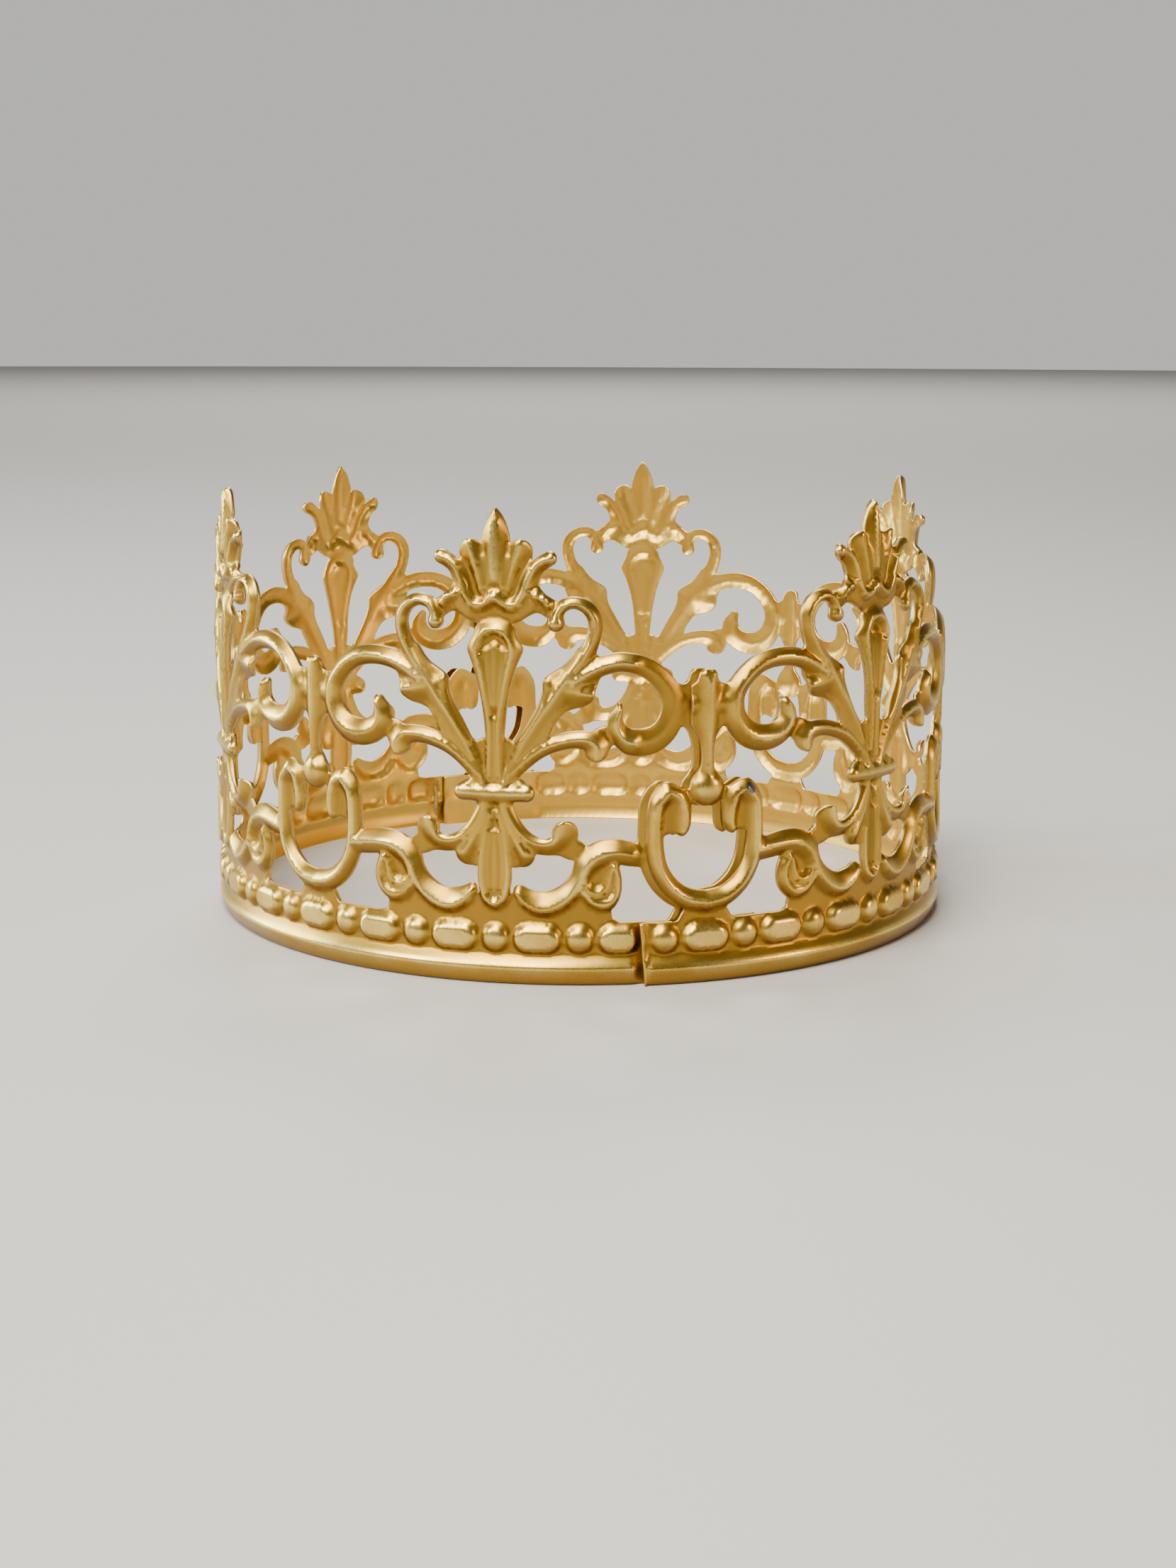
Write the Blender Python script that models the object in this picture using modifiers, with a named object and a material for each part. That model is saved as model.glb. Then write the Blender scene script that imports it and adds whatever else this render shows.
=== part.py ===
"""Mini crown: two pressed openwork strips, rolled round and soldered where they lap.

The ornament is drawn flat, in millimetres: s runs along the strip and z stands up from
the table.  One half of a fleuron is drawn, then mirrored and repeated along the strip.
The flat sheet is given its thickness, pressed into relief and rolled to the crown's wall.
Part frame: metres, +Z up, origin at the centre of the base, -Y is the front.
"""
import math

import bmesh
import bpy
import numpy as np
from mathutils import Vector
from mathutils.geometry import convex_hull_2d, delaunay_2d_cdt

MM = 0.001

# Driving dimensions, in millimetres and degrees.
DRAWN_RADIUS = 70.0        # radius at which the flat drawing closes on itself
FLEURONS = 6
PERIOD = 2 * math.pi * DRAWN_RADIUS / FLEURONS
HALF = PERIOD / 2
WALL_RADIUS = 69.4         # outer face of the flat ground, at the outer end of a strip
SHEET = 0.8                # thickness of the pressed sheet
GAP = 0.3                  # clearance between neighbouring solids
FRONT_FLEURON = -11.9      # angle of the front fleuron from the front, towards +X
LEAN_START = 42.0          # height above which the wall leans in
LEAN = 1.3                 # how far the tips lean in
TIP_HEIGHT = 80.0
STRIP_FLEURONS = 3         # fleurons in one strip
LAP_HALF = 11.3            # each strip runs this far past the middle of its end rings
BAND_TOP = 10.8
RIM_TOP = 5.2
RIM_CREST_Z = 3.0
RIM_CREST = 1.0            # how far the rim's ridge stands out
RIM_FOOT = 0.25            # how far the rim's lower edge stands out
BEAD_Z = 7.9
BEAD_RADIUS = 2.5
BEAD_RISE = 1.1
LONG_BEAD_HALF = 4.2       # half length of a long bead
BEAD_PITCH = PERIOD / 10
SCROLL_RISE = 0.62         # height of a scroll's ridge over its half width
MAX_RISE = 1.15            # no scroll's ridge stands higher
OUTLINE_STEP = 3.0         # spacing of outline points along a scroll
RIDGE_STEP = 6.0           # spacing of points along a scroll's ridge
OUTLINE_TOLERANCE = 0.2    # how far an outline point may move when outlines are thinned
SHORTEST_EDGE = 1.1        # outline points nearer than this to the one before are dropped
CLOSE = 1e-4               # points this near to each other are the same point
UNION_CLOSE = 1e-5         # the same, while outlines are joined
WELD = 1e-6                # the same, in metres, where half periods meet
WINDOW = (-1.0, 90.0)      # heights between which the flat drawing lies

# Scrolls and petals of the right half of a fleuron: (s, z, half width) on the centre line.
LOOP = [(10.6, 61.3, 1.5), (10.8, 62.9, 1.05), (12.0, 64.3, 1.05), (13.9, 64.65, 1.05),
        (15.9, 63.8, 1.15), (17.1, 62.1, 1.25), (17.2, 60.0, 1.25), (16.5, 57.7, 1.3),
        (15.1, 55.2, 1.6), (13.2, 52.6, 2.0), (10.3, 48.1, 2.1), (7.4, 43.8, 2.0),
        (4.4, 39.0, 1.6), (2.4, 35.0, 1.2)]
BIG_SCROLL = [(13.5, 51.6, 1.9), (16.0, 53.2, 1.7), (19.3, 54.5, 1.65), (23.0, 54.85, 1.65),
              (26.6, 54.1, 1.65), (29.6, 52.1, 1.75), (31.6, 49.3, 1.9), (31.9, 46.4, 2.05),
              (30.8, 43.7, 2.2), (28.6, 41.9, 2.3), (25.9, 41.35, 2.3), (23.3, 41.9, 2.2),
              (21.5, 43.4, 2.1), (21.2, 45.3, 1.8), (21.9, 47.2, 1.0)]
LOWER_BRANCH = [(2.0, 34.6, 1.0), (4.6, 37.4, 1.15), (7.8, 40.0, 1.25), (11.2, 41.5, 1.4),
                (14.4, 42.0, 1.5), (16.7, 41.5, 1.9), (17.4, 40.5, 2.2)]
BRANCH_SPUR = [(8.0, 41.2, 1.0), (9.4, 43.6, 0.4)]
PETAL_MIDDLE = [(0.0, 66.0, 1.6), (0.0, 70.0, 2.1), (0.0, 74.5, 2.5), (0.0, 77.0, 1.95),
                (0.0, 78.8, 1.1), (0.0, 79.9, 0.2)]
PETAL_SECOND = [(1.9, 65.5, 1.2), (3.0, 68.5, 1.7), (4.1, 71.5, 2.1), (4.35, 72.8, 2.15)]
PETAL_OUTER = [(3.4, 63.9, 1.3), (5.1, 65.8, 1.5), (6.1, 68.2, 1.45), (7.3, 70.4, 1.3),
               (9.5, 71.85, 1.25)]
COLLAR = [(0.0, 32.8, 1.5), (3.0, 32.8, 1.4), (5.5, 32.85, 1.45)]
SIDE_SCROLL = [(1.6, 31.5, 1.3), (2.5, 28.9, 1.35), (3.9, 26.4, 1.45), (6.0, 24.5, 1.5),
               (8.6, 23.75, 1.45), (11.0, 24.3, 1.75), (12.1, 26.0, 2.35)]
WAVE = [(27.4, 22.0, 1.9), (24.5, 22.5, 2.1), (21.2, 22.95, 2.2), (18.2, 22.5, 2.25),
        (15.9, 20.9, 2.1), (14.9, 18.7, 1.8), (13.3, 16.3, 1.9), (10.8, 14.4, 2.1),
        (8.2, 13.8, 2.15), (5.8, 14.7, 1.8), (4.2, 16.2, 1.0)]
WAVE_RIDGE = [(26.0, 22.2, 0.3)] + WAVE[1:]
CURL = [(20.7, 20.4, 1.3), (21.6, 18.1, 1.25), (21.2, 15.8, 1.4), (19.3, 14.2, 1.5),
        (17.1, 14.6, 1.4), (15.4, 16.3, 1.3)]

# Flat shapes of the same half: outlines closed along the fleuron's axis where they meet it.
TORCH = [(0.0, 62.0), (1.4, 61.8), (2.7, 61.1), (3.6, 60.3), (3.7, 59.3), (4.9, 57.1),
         (4.6, 55.9), (3.7, 53.8), (2.8, 50.8), (2.2, 47.5), (1.8, 44.0), (1.5, 40.0),
         (1.6, 35.5), (2.0, 33.0), (0.0, 33.0)]
CUP = [(0.0, 61.0), (3.4, 61.1), (4.8, 61.7), (6.3, 62.6), (7.6, 62.9), (9.4, 62.0),
       (10.6, 63.0), (11.4, 64.6), (10.4, 64.95), (9.2, 65.7), (8.0, 66.7), (7.3, 67.8),
       (6.0, 70.0), (4.0, 72.0), (0.0, 74.0)]
STEM = [(16.9, 56.9), (14.5, 57.3), (12.1, 54.5), (8.5, 52.1), (8.2, 49.8), (7.0, 46.8),
        (5.2, 43.5), (3.3, 41.35), (1.4, 41.9), (1.0, 34.0), (2.2, 34.0), (5.0, 38.5),
        (8.2, 41.5), (9.8, 44.0), (11.3, 46.0), (13.3, 47.0), (15.5, 47.5), (16.8, 48.4),
        (17.2, 49.9), (18.2, 52.8), (18.0, 54.8)]
BRANCH_BRIDGE = [(16.8, 43.3), (18.9, 44.2), (20.6, 43.6), (20.4, 41.2), (19.2, 40.2),
                 (17.6, 41.0)]
FANG = [(1.6, 29.5), (3.2, 27.4), (5.4, 24.4), (7.0, 22.6), (6.6, 21.0), (5.5, 20.25),
        (4.2, 20.2), (2.6, 20.8)]
BUD = [(0.0, 12.0), (1.1, 12.7), (2.2, 14.4), (2.8, 16.8), (3.0, 19.2), (2.6, 22.5),
       (2.4, 26.0), (2.0, 31.0), (0.0, 32.0)]
SIDE_BRIDGE = [(8.8, 23.0), (11.4, 22.2), (12.8, 21.6), (15.6, 21.6), (15.9, 23.6),
               (14.4, 24.9), (12.0, 25.0)]
CURL_WEB = [(15.4, 17.4), (16.0, 19.6), (17.4, 21.0), (20.2, 21.2), (21.2, 19.2), (21.1, 16.8),
            (19.8, 15.0), (17.4, 14.8), (16.0, 16.0)]
GROUND = [(0.0, 10.3), (21.2, 10.3), (20.4, 11.4), (20.0, 13.2), (16.6, 14.6), (14.6, 15.6),
          (12.8, 15.2), (9.0, 13.0), (4.6, 15.4), (2.4, 15.6), (0.0, 15.0)]

# The ring between two fleurons: s is measured from the ring's own axis.
RING = [(0.0, 14.0, 1.9), (3.6, 14.75, 1.8), (6.6, 17.0, 1.7), (8.5, 20.2, 1.6),
        (9.15, 23.8, 1.55), (9.2, 27.5, 1.5), (8.8, 31.0, 1.6), (7.1, 33.1, 1.65)]
ARM = [(2.7, 33.0), (2.8, 29.8), (3.0, 27.2), (3.6, 25.9), (4.6, 25.4), (5.9, 26.1),
       (7.4, 25.7), (9.6, 26.0), (10.2, 31.0), (9.0, 33.8), (7.4, 34.8), (5.6, 34.4),
       (4.2, 33.6)]
ARM_FOLD = [(7.0, 33.0, 1.6), (5.0, 31.0, 2.0), (4.7, 27.4, 1.6)]
LINK = [(0.0, 53.6), (0.9, 53.5), (1.6, 52.9), (1.9, 51.6), (3.0, 50.9), (4.6, 51.0),
        (4.8, 47.5), (4.6, 44.0), (2.9, 43.9), (1.9, 42.8), (1.3, 41.0), (1.1, 38.8),
        (1.3, 36.8), (2.0, 35.6), (0.0, 35.0)]
LINK_RIDGE = [(0.0, 36.5, 1.2), (0.0, 41.0, 1.3), (0.0, 47.0, 1.9), (0.0, 52.5, 1.6)]
FOOT = [(0.0, 10.3), (5.0, 10.3), (4.6, 11.6), (3.9, 12.7), (2.6, 13.6), (0.0, 13.6)]
BALL = (0.0, 33.4, 3.05)
BALL_RIDGE = [(0.0, 34.2, 2.9), (0.0, 33.0, 2.9)]
WEB_CUT = 3.0              # at a strip's ends the link's web is cut this far from its axis

# Solder inside each lap: (name, s from the ring's axis, z, how far its middle stands
# out from the inner face of the inner strip, half sizes along s, through it and up).
SOLDER = [("solder_band", LAP_HALF + 0.95, 5.4, 0.3, (0.6, 0.5, 3.6)),
          ("solder_ring", 0.0, 14.0, -0.7, (1.4, 0.4, 1.1)),
          ("solder_link", 0.0, 47.5, -0.7, (1.2, 0.4, 1.8))]

GOLD = (0.66, 0.46, 0.18, 1.0)
GOLD_ROUGHNESS = 0.38
SOLDER_COLOR = (0.62, 0.56, 0.42, 1.0)
SOLDER_ROUGHNESS = 0.3


def clear_scene():
    """Remove every object that the file opened with."""
    for item in list(bpy.data.objects):
        bpy.data.objects.remove(item, do_unlink=True)


def spline(points, step):
    """Points about step apart on a Catmull-Rom curve through the given points."""
    data = np.array(points, dtype=float)
    padded = np.vstack([2 * data[0] - data[1], data, 2 * data[-1] - data[-2]])
    out = []
    for i in range(1, len(padded) - 2):
        before, start, end, after = padded[i - 1:i + 3]
        count = max(1, round(np.linalg.norm((end - start)[:2]) / step))
        for t in np.arange(count) / count:
            out.append(0.5 * (2 * start + (end - before) * t
                              + (2 * before - 5 * start + 4 * end - after) * t ** 2
                              + (3 * start - before - 3 * end + after) * t ** 3))
    out.append(data[-1])
    return np.array(out)


def hull(points):
    """Convex outline round a few points."""
    return np.array(points)[convex_hull_2d([Vector(p) for p in points])]


def stroke_outlines(points):
    """Outlines that cover a scroll: one for each step of its centre line, and its round ends."""
    line = spline(points, OUTLINE_STEP)
    centre, width = line[:, :2], line[:, 2:]
    ahead = np.gradient(centre, axis=0)
    ahead /= np.linalg.norm(ahead, axis=1)[:, None]
    side = np.stack([-ahead[:, 1], ahead[:, 0]], axis=1) * width
    left, right = centre + side, centre - side
    steps = range(len(line) - 1)
    pieces = [hull([left[i], right[i], right[i + 1], left[i + 1]]) for i in steps]
    for end, forward in ((-1, ahead[-1] * width[-1]), (0, -ahead[0] * width[0])):
        turns = np.radians([0, 45, 90, 135, 180])
        pieces.append(hull([centre[end] + math.cos(a) * side[end] + math.sin(a) * forward
                            for a in turns]))
    return pieces


def anticlockwise(outline):
    """The same outline, running anticlockwise."""
    data = np.array(outline, dtype=float)
    ahead = np.roll(data, -1, axis=0)
    area = np.sum(data[:, 0] * ahead[:, 1] - ahead[:, 0] * data[:, 1])
    return data if area > 0 else data[::-1]


def disc_outline(centre_s, centre_z, radius, half_length=0.0, count=10):
    """Closed outline of a round bead, or of a long one, whose ends are half_length apart."""
    points = []
    first = math.pi / count if half_length else 0.0
    for turn in np.arange(count) / count * 2 * math.pi + first:
        shift = math.copysign(half_length, math.cos(turn))
        points.append((centre_s + shift + radius * math.cos(turn),
                       centre_z + radius * math.sin(turn)))
    return np.array(points)


def from_ring(points):
    """Move a shape drawn from the ring's axis to the far side of the half period."""
    data = np.array(points, dtype=float)
    data[:, 0] = HALF - data[:, 0]
    return data


FLEURON_STROKES = [LOOP, BIG_SCROLL, LOWER_BRANCH, BRANCH_SPUR, PETAL_MIDDLE, PETAL_SECOND,
                   PETAL_OUTER, COLLAR, SIDE_SCROLL, WAVE, CURL]
FLEURON_SHAPES = [TORCH, CUP, STEM, BRANCH_BRIDGE, FANG, BUD, SIDE_BRIDGE, CURL_WEB, GROUND]
FLEURON_RIDGES = [LOOP, BIG_SCROLL, LOWER_BRANCH, PETAL_MIDDLE, PETAL_SECOND, PETAL_OUTER,
                  COLLAR, SIDE_SCROLL, WAVE_RIDGE, CURL,
                  [(0.0, 60.6, 3.2), (0.0, 57.0, 4.6), (0.0, 50.0, 2.6), (0.0, 36.0, 1.5)],
                  [(0.0, 29.5, 1.6), (0.0, 21.0, 2.9), (0.0, 14.6, 2.2)]]
RING_STROKES = [from_ring(RING)]
RING_SHAPES = [from_ring(ARM), from_ring(LINK), from_ring(FOOT),
               from_ring(disc_outline(*BALL))]
RING_RIDGES = [from_ring(RING), from_ring(ARM_FOLD), from_ring(LINK_RIDGE), from_ring(BALL_RIDGE)]
CREASES = [np.array([(1.3, 67.0), (2.4, 72.5)]), np.array([(3.6, 67.0), (5.4, 70.6)]),
           from_ring([(2.8, 44.6), (2.8, 50.2)])]
END_LINK = [(min(s, WEB_CUT), z) for s, z in LINK]
END_SHAPES = [from_ring(ARM), from_ring(END_LINK), from_ring(FOOT),
              from_ring(disc_outline(*BALL))]


def bead_list():
    """(centre s, half length) of each bead in half a period, long beads at every odd step."""
    beads = []
    for k in range(6):
        straight = LONG_BEAD_HALF - BEAD_RADIUS if k % 2 else 0.0
        beads.append((k * BEAD_PITCH, straight))
    return beads


def union_faces(outlines, low, high):
    """Triangles of the union of the outlines between s = low and s = high."""
    bottom, top = WINDOW
    window = np.array([(low, bottom), (high, bottom), (high, top), (low, top)])
    points = []
    faces = []
    for outline in [window] + outlines:
        faces.append(list(range(len(points), len(points) + len(outline))))
        points += [Vector(p) for p in outline]
    verts, _, tris, _, _, owners = delaunay_2d_cdt(points, [], faces, 1, UNION_CLOSE, True)
    kept = [tri for tri, owner in zip(tris, owners) if 0 in owner and len(owner) > 1]
    return [tuple(v) for v in verts], kept


def boundary_loops(tris):
    """Loops of the edges that only one triangle uses."""
    edges = {}
    for a, b, c in tris:
        for edge in ((a, b), (b, c), (c, a)):
            if edge[::-1] in edges:
                del edges[edge[::-1]]
            else:
                edges[edge] = True
    follow = {a: b for a, b in edges}
    loops = []
    while follow:
        start = next(iter(follow))
        loop = [start]
        step = follow.pop(start)
        while step != start:
            loop.append(step)
            step = follow.pop(step)
        loops.append(loop)
    return loops


def thin(points, tolerance, fixed):
    """Drop points that lie close to the line between their neighbours, or crowd them."""
    kept = list(points)
    changed = True
    while changed and len(kept) > 4:
        changed = False
        for i in range(len(kept)):
            p, a, b = kept[i], kept[i - 1], kept[(i + 1) % len(kept)]
            if fixed(p):
                continue
            base = b - a
            length = np.linalg.norm(base)
            off = abs(base[0] * (p - a)[1] - base[1] * (p - a)[0]) / max(length, CLOSE)
            crowd = np.linalg.norm(p - a) < SHORTEST_EDGE and not fixed(a)
            if off < tolerance or crowd:
                kept.pop(i)
                changed = True
                break
    return kept


def inside(points, loops):
    """True for each point that an odd number of loop edges passes to the right of."""
    result = np.zeros(len(points), dtype=bool)
    for loop in loops:
        start = np.array(loop)
        end = np.roll(start, -1, axis=0)
        for a, b in zip(start, end):
            spans = (a[1] > points[:, 1]) != (b[1] > points[:, 1])
            rise = b[1] - a[1] if b[1] != a[1] else 1.0
            crossing = a[0] + (points[:, 1] - a[1]) / rise * (b[0] - a[0])
            result ^= spans & (points[:, 0] < crossing)
    return result


def distance_to_line(points, line):
    """Distance from each point to a centre line, and the line's half width at the nearest place."""
    best = np.full(len(points), np.inf)
    width = np.ones(len(points))
    for a, b in zip(line[:-1], line[1:]):
        along = (b - a)[:2]
        t = np.clip(((points - a[:2]) @ along) / (along @ along), 0.0, 1.0)
        gap = np.linalg.norm(points - (a[:2] + t[:, None] * along), axis=1)
        closer = gap < best
        best = np.where(closer, gap, best)
        width = np.where(closer, a[2] + t * (b[2] - a[2]), width)
    return best, width


def relief(points, ridges):
    """How far the sheet is pressed outwards at each point of the half period."""
    rise = np.zeros(len(points))
    for line in ridges:
        gap, width = distance_to_line(points, line)
        crest = np.minimum(width * SCROLL_RISE, MAX_RISE)
        rise = np.maximum(rise, crest * (1 - np.minimum(gap / width, 1.0)))
    for centre, straight in bead_list():
        across = np.maximum(np.abs(points[:, 0] - centre) - straight, 0.0)
        gap = np.hypot(across, points[:, 1] - BEAD_Z) / BEAD_RADIUS
        rise = np.maximum(rise, BEAD_RISE * np.sqrt(np.maximum(1 - gap ** 2, 0.0)))
    rim = np.interp(points[:, 1], [0.0, RIM_CREST_Z, RIM_TOP], [RIM_FOOT, RIM_CREST, 0.0])
    return np.maximum(rise, rim)


def half_sheet(strokes, shapes, ridges, creases, low, high):
    """Flat triangles of one half period, from s = low to high: points with their rise, faces."""
    band = np.array([(low, 0.0), (high, 0.0), (high, BAND_TOP), (low, BAND_TOP)])
    outlines = [piece for line in strokes for piece in stroke_outlines(line)]
    outlines += [anticlockwise(shape) for shape in shapes] + [band]
    verts, tris = union_faces(outlines, low, high)

    def snap(point):
        """Bring a point that is a rounding error off either end exactly onto it."""
        s, z = point
        for end in (low, high):
            s = end if abs(s - end) < CLOSE else s
        return np.array([s, z])

    def on_edge(point):
        return point[0] in (low, high) or point[1] < CLOSE

    loops = []
    for loop in boundary_loops(tris):
        loops.append(thin([snap(verts[i]) for i in loop], OUTLINE_TOLERANCE, on_edge))
    points = []
    edges = []

    def add(chain, closed):
        first = len(points)
        points.extend(Vector(p[:2]) for p in chain)
        edges.extend((first + i, first + i + 1) for i in range(len(chain) - 1))
        if closed:
            edges.append((first + len(chain) - 1, first))

    for loop in loops:
        add(loop, True)
    ribs = [spline(line, RIDGE_STEP) for line in ridges]
    for rib in ribs + creases:
        add([p for p in rib if low <= p[0] <= high], False)
    columns = (np.arange(FLEURONS) + 0.5) * BEAD_PITCH
    for height in (0.0, RIM_CREST_Z, RIM_TOP, BAND_TOP):
        row = sorted({low, high} | {c for c in columns if low + SHORTEST_EDGE < c < high - SHORTEST_EDGE})
        add([(s, height) for s in row], False)
    for centre, straight in bead_list():
        crest = [(centre - straight, BEAD_Z), (centre + straight, BEAD_Z)]
        crest = [p for p in crest if low <= p[0] <= high]
        rim = disc_outline(centre, BEAD_Z, BEAD_RADIUS, straight, 8)
        cut = [(min(max(s, low), high), z) for s, z in rim]
        if centre + LONG_BEAD_HALF > low and len(crest) > 0:
            add(cut, True)
            add(crest, False)
    flat, _, tris, _, _, _ = delaunay_2d_cdt(points, edges, [], 0, CLOSE, False)
    flat = np.array([snap(v) for v in flat])
    corners = flat[np.array(tris)]
    first, second = corners[:, 1] - corners[:, 0], corners[:, 2] - corners[:, 0]
    areas = np.abs(first[:, 0] * second[:, 1] - first[:, 1] * second[:, 0]) / 2
    keep = inside(corners.mean(axis=1), loops) & (areas > CLOSE)
    rise = relief(flat, ribs)
    return flat, rise, [tri for tri, ok in zip(tris, keep) if ok]


def lay(bm, sheet, shift, mirrored):
    """Add a half sheet to the flat strip, mirrored about s = 0 if asked, then moved by shift."""
    flat, rise, tris = sheet
    sign = -1.0 if mirrored else 1.0
    layer = bm.verts.layers.float.get("rise") or bm.verts.layers.float.new("rise")
    used = sorted({i for tri in tris for i in tri})
    made = {}
    for i in used:
        made[i] = bm.verts.new(((sign * flat[i][0] + shift) * MM, 0.0, flat[i][1] * MM))
        made[i][layer] = rise[i]
    for tri in tris:
        corners = [made[i] for i in tri]
        bm.faces.new(corners[::-1] if mirrored else corners)


def flat_strip():
    """The whole strip, flat: three fleurons and a ring at every joint and both ends."""
    strokes = FLEURON_STROKES + RING_STROKES
    shapes = FLEURON_SHAPES + RING_SHAPES
    ridges = FLEURON_RIDGES + RING_RIDGES
    full = half_sheet(strokes, shapes, ridges, CREASES, 0.0, HALF)
    end = half_sheet(RING_STROKES, END_SHAPES, RING_RIDGES, [], HALF - LAP_HALF, HALF)
    bm = bmesh.new()
    lay(bm, end, -PERIOD, False)
    for k in range(STRIP_FLEURONS):
        lay(bm, full, k * PERIOD, True)
        lay(bm, full, k * PERIOD, False)
    lay(bm, end, STRIP_FLEURONS * PERIOD, True)
    bmesh.ops.remove_doubles(bm, verts=bm.verts, dist=WELD)
    bmesh.ops.recalc_face_normals(bm, faces=bm.faces)
    if bm.faces[0].normal.y > 0:
        bmesh.ops.reverse_faces(bm, faces=bm.faces)
    mesh = bpy.data.meshes.new("flat_strip")
    bm.to_mesh(mesh)
    bm.free()
    return mesh


def wall_radius(s, z):
    """Outer radius of the flat ground: a slow spiral, leaning in above LEAN_START."""
    drift = (SHEET + GAP) * (s + HALF + LAP_HALF) / (STRIP_FLEURONS * PERIOD)
    above = max(z - LEAN_START, 0.0) / (TIP_HEIGHT - LEAN_START)
    return WALL_RADIUS - drift - LEAN * above ** 2


def rolled_point(s, z, outwards, start_angle):
    """Place on the crown of a flat point, in metres; start_angle turns s = 0 from the front."""
    angle = math.radians(start_angle) + s / DRAWN_RADIUS
    radius = (wall_radius(s, z) + outwards) * MM
    return radius * math.sin(angle), -radius * math.cos(angle), z * MM


def material(name, color, roughness):
    """A metal with one colour and roughness."""
    made = bpy.data.materials.new(name)
    made.use_nodes = True
    shader = made.node_tree.nodes["Principled BSDF"]
    shader.inputs["Base Color"].default_value = color
    shader.inputs["Roughness"].default_value = roughness
    shader.inputs["Metallic"].default_value = 1.0
    return made


def add_object(name, mesh, collection, finish):
    """Put a mesh in the collection under its name, with its material."""
    made = bpy.data.objects.new(name, mesh)
    collection.objects.link(made)
    mesh.materials.clear()
    mesh.materials.append(finish)
    return made


def make_strip(name, flat, collection, finish, start_angle):
    """Thicken the flat strip, press it into relief and roll it, starting at its angle."""
    made = add_object(name, flat.copy(), collection, finish)
    thicken = made.modifiers.new("sheet", "SOLIDIFY")
    thicken.thickness = SHEET * MM
    thicken.offset = -1.0
    bpy.context.view_layer.update()
    graph = bpy.context.evaluated_depsgraph_get()
    pressed = bpy.data.meshes.new_from_object(made.evaluated_get(graph))
    made.modifiers.clear()
    made.data = pressed
    pressed.name = name
    rises = pressed.attributes["rise"].data
    for vertex, lift in zip(pressed.vertices, rises):
        s, depth, z = vertex.co / MM
        vertex.co = rolled_point(s, z, lift.value - depth, start_angle)
    return made


def make_solder(name, collection, finish, lap_angle, place):
    """A smooth lump of solder against the inside of a lap, from a flattened sphere."""
    s, z, outwards, half_sizes = place
    half_s, half_depth, half_z = half_sizes
    bm = bmesh.new()
    bmesh.ops.create_uvsphere(bm, u_segments=10, v_segments=6, radius=1.0)
    inner_face = wall_radius(STRIP_FLEURONS * PERIOD - HALF + s, z) - SHEET
    for vertex in bm.verts:
        angle = math.radians(lap_angle) + (s + vertex.co.x * half_s) / DRAWN_RADIUS
        radius = (inner_face + outwards + vertex.co.y * half_depth) * MM
        vertex.co = (radius * math.sin(angle), -radius * math.cos(angle),
                     (z + vertex.co.z * half_z) * MM)
    bmesh.ops.reverse_faces(bm, faces=bm.faces)
    mesh = bpy.data.meshes.new(name)
    bm.to_mesh(mesh)
    bm.free()
    mesh.shade_smooth()
    return add_object(name, mesh, collection, finish)


def main():
    clear_scene()
    crown = bpy.data.collections.new("crown")
    bpy.context.scene.collection.children.link(crown)
    gold = material("antique_gold", GOLD, GOLD_ROUGHNESS)
    solder = material("plated_solder", SOLDER_COLOR, SOLDER_ROUGHNESS)
    flat = flat_strip()
    step = 360.0 / FLEURONS
    half_turn = STRIP_FLEURONS * step
    make_strip("front_right_strip", flat, crown, gold, FRONT_FLEURON + step)
    make_strip("front_left_strip", flat, crown, gold, FRONT_FLEURON + step + half_turn)
    bpy.data.meshes.remove(flat)
    front_ring = FRONT_FLEURON + step / 2
    for side, lap_angle in (("front", front_ring), ("back", front_ring + half_turn)):
        for name, *place in SOLDER:
            make_solder(f"{name}_{side}", crown, solder, lap_angle, place)


main()
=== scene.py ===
"""Looks of the mini crown: both strips in fine pressed relief, the solder, the gold and the studio.

The ornament is drawn flat, in millimetres, as it is in the part: s runs along the strip and z
stands up from the table.  Shapes are joined into one outline, the outline is filled with small
triangles, and every point is lifted by the relief there.  The flat sheet is then mirrored,
repeated, given its back and its edges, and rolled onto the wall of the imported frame.
"""
import math

import bmesh
import bpy
import numpy as np
from mathutils import Matrix, Vector, noise
from mathutils.geometry import delaunay_2d_cdt


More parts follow.
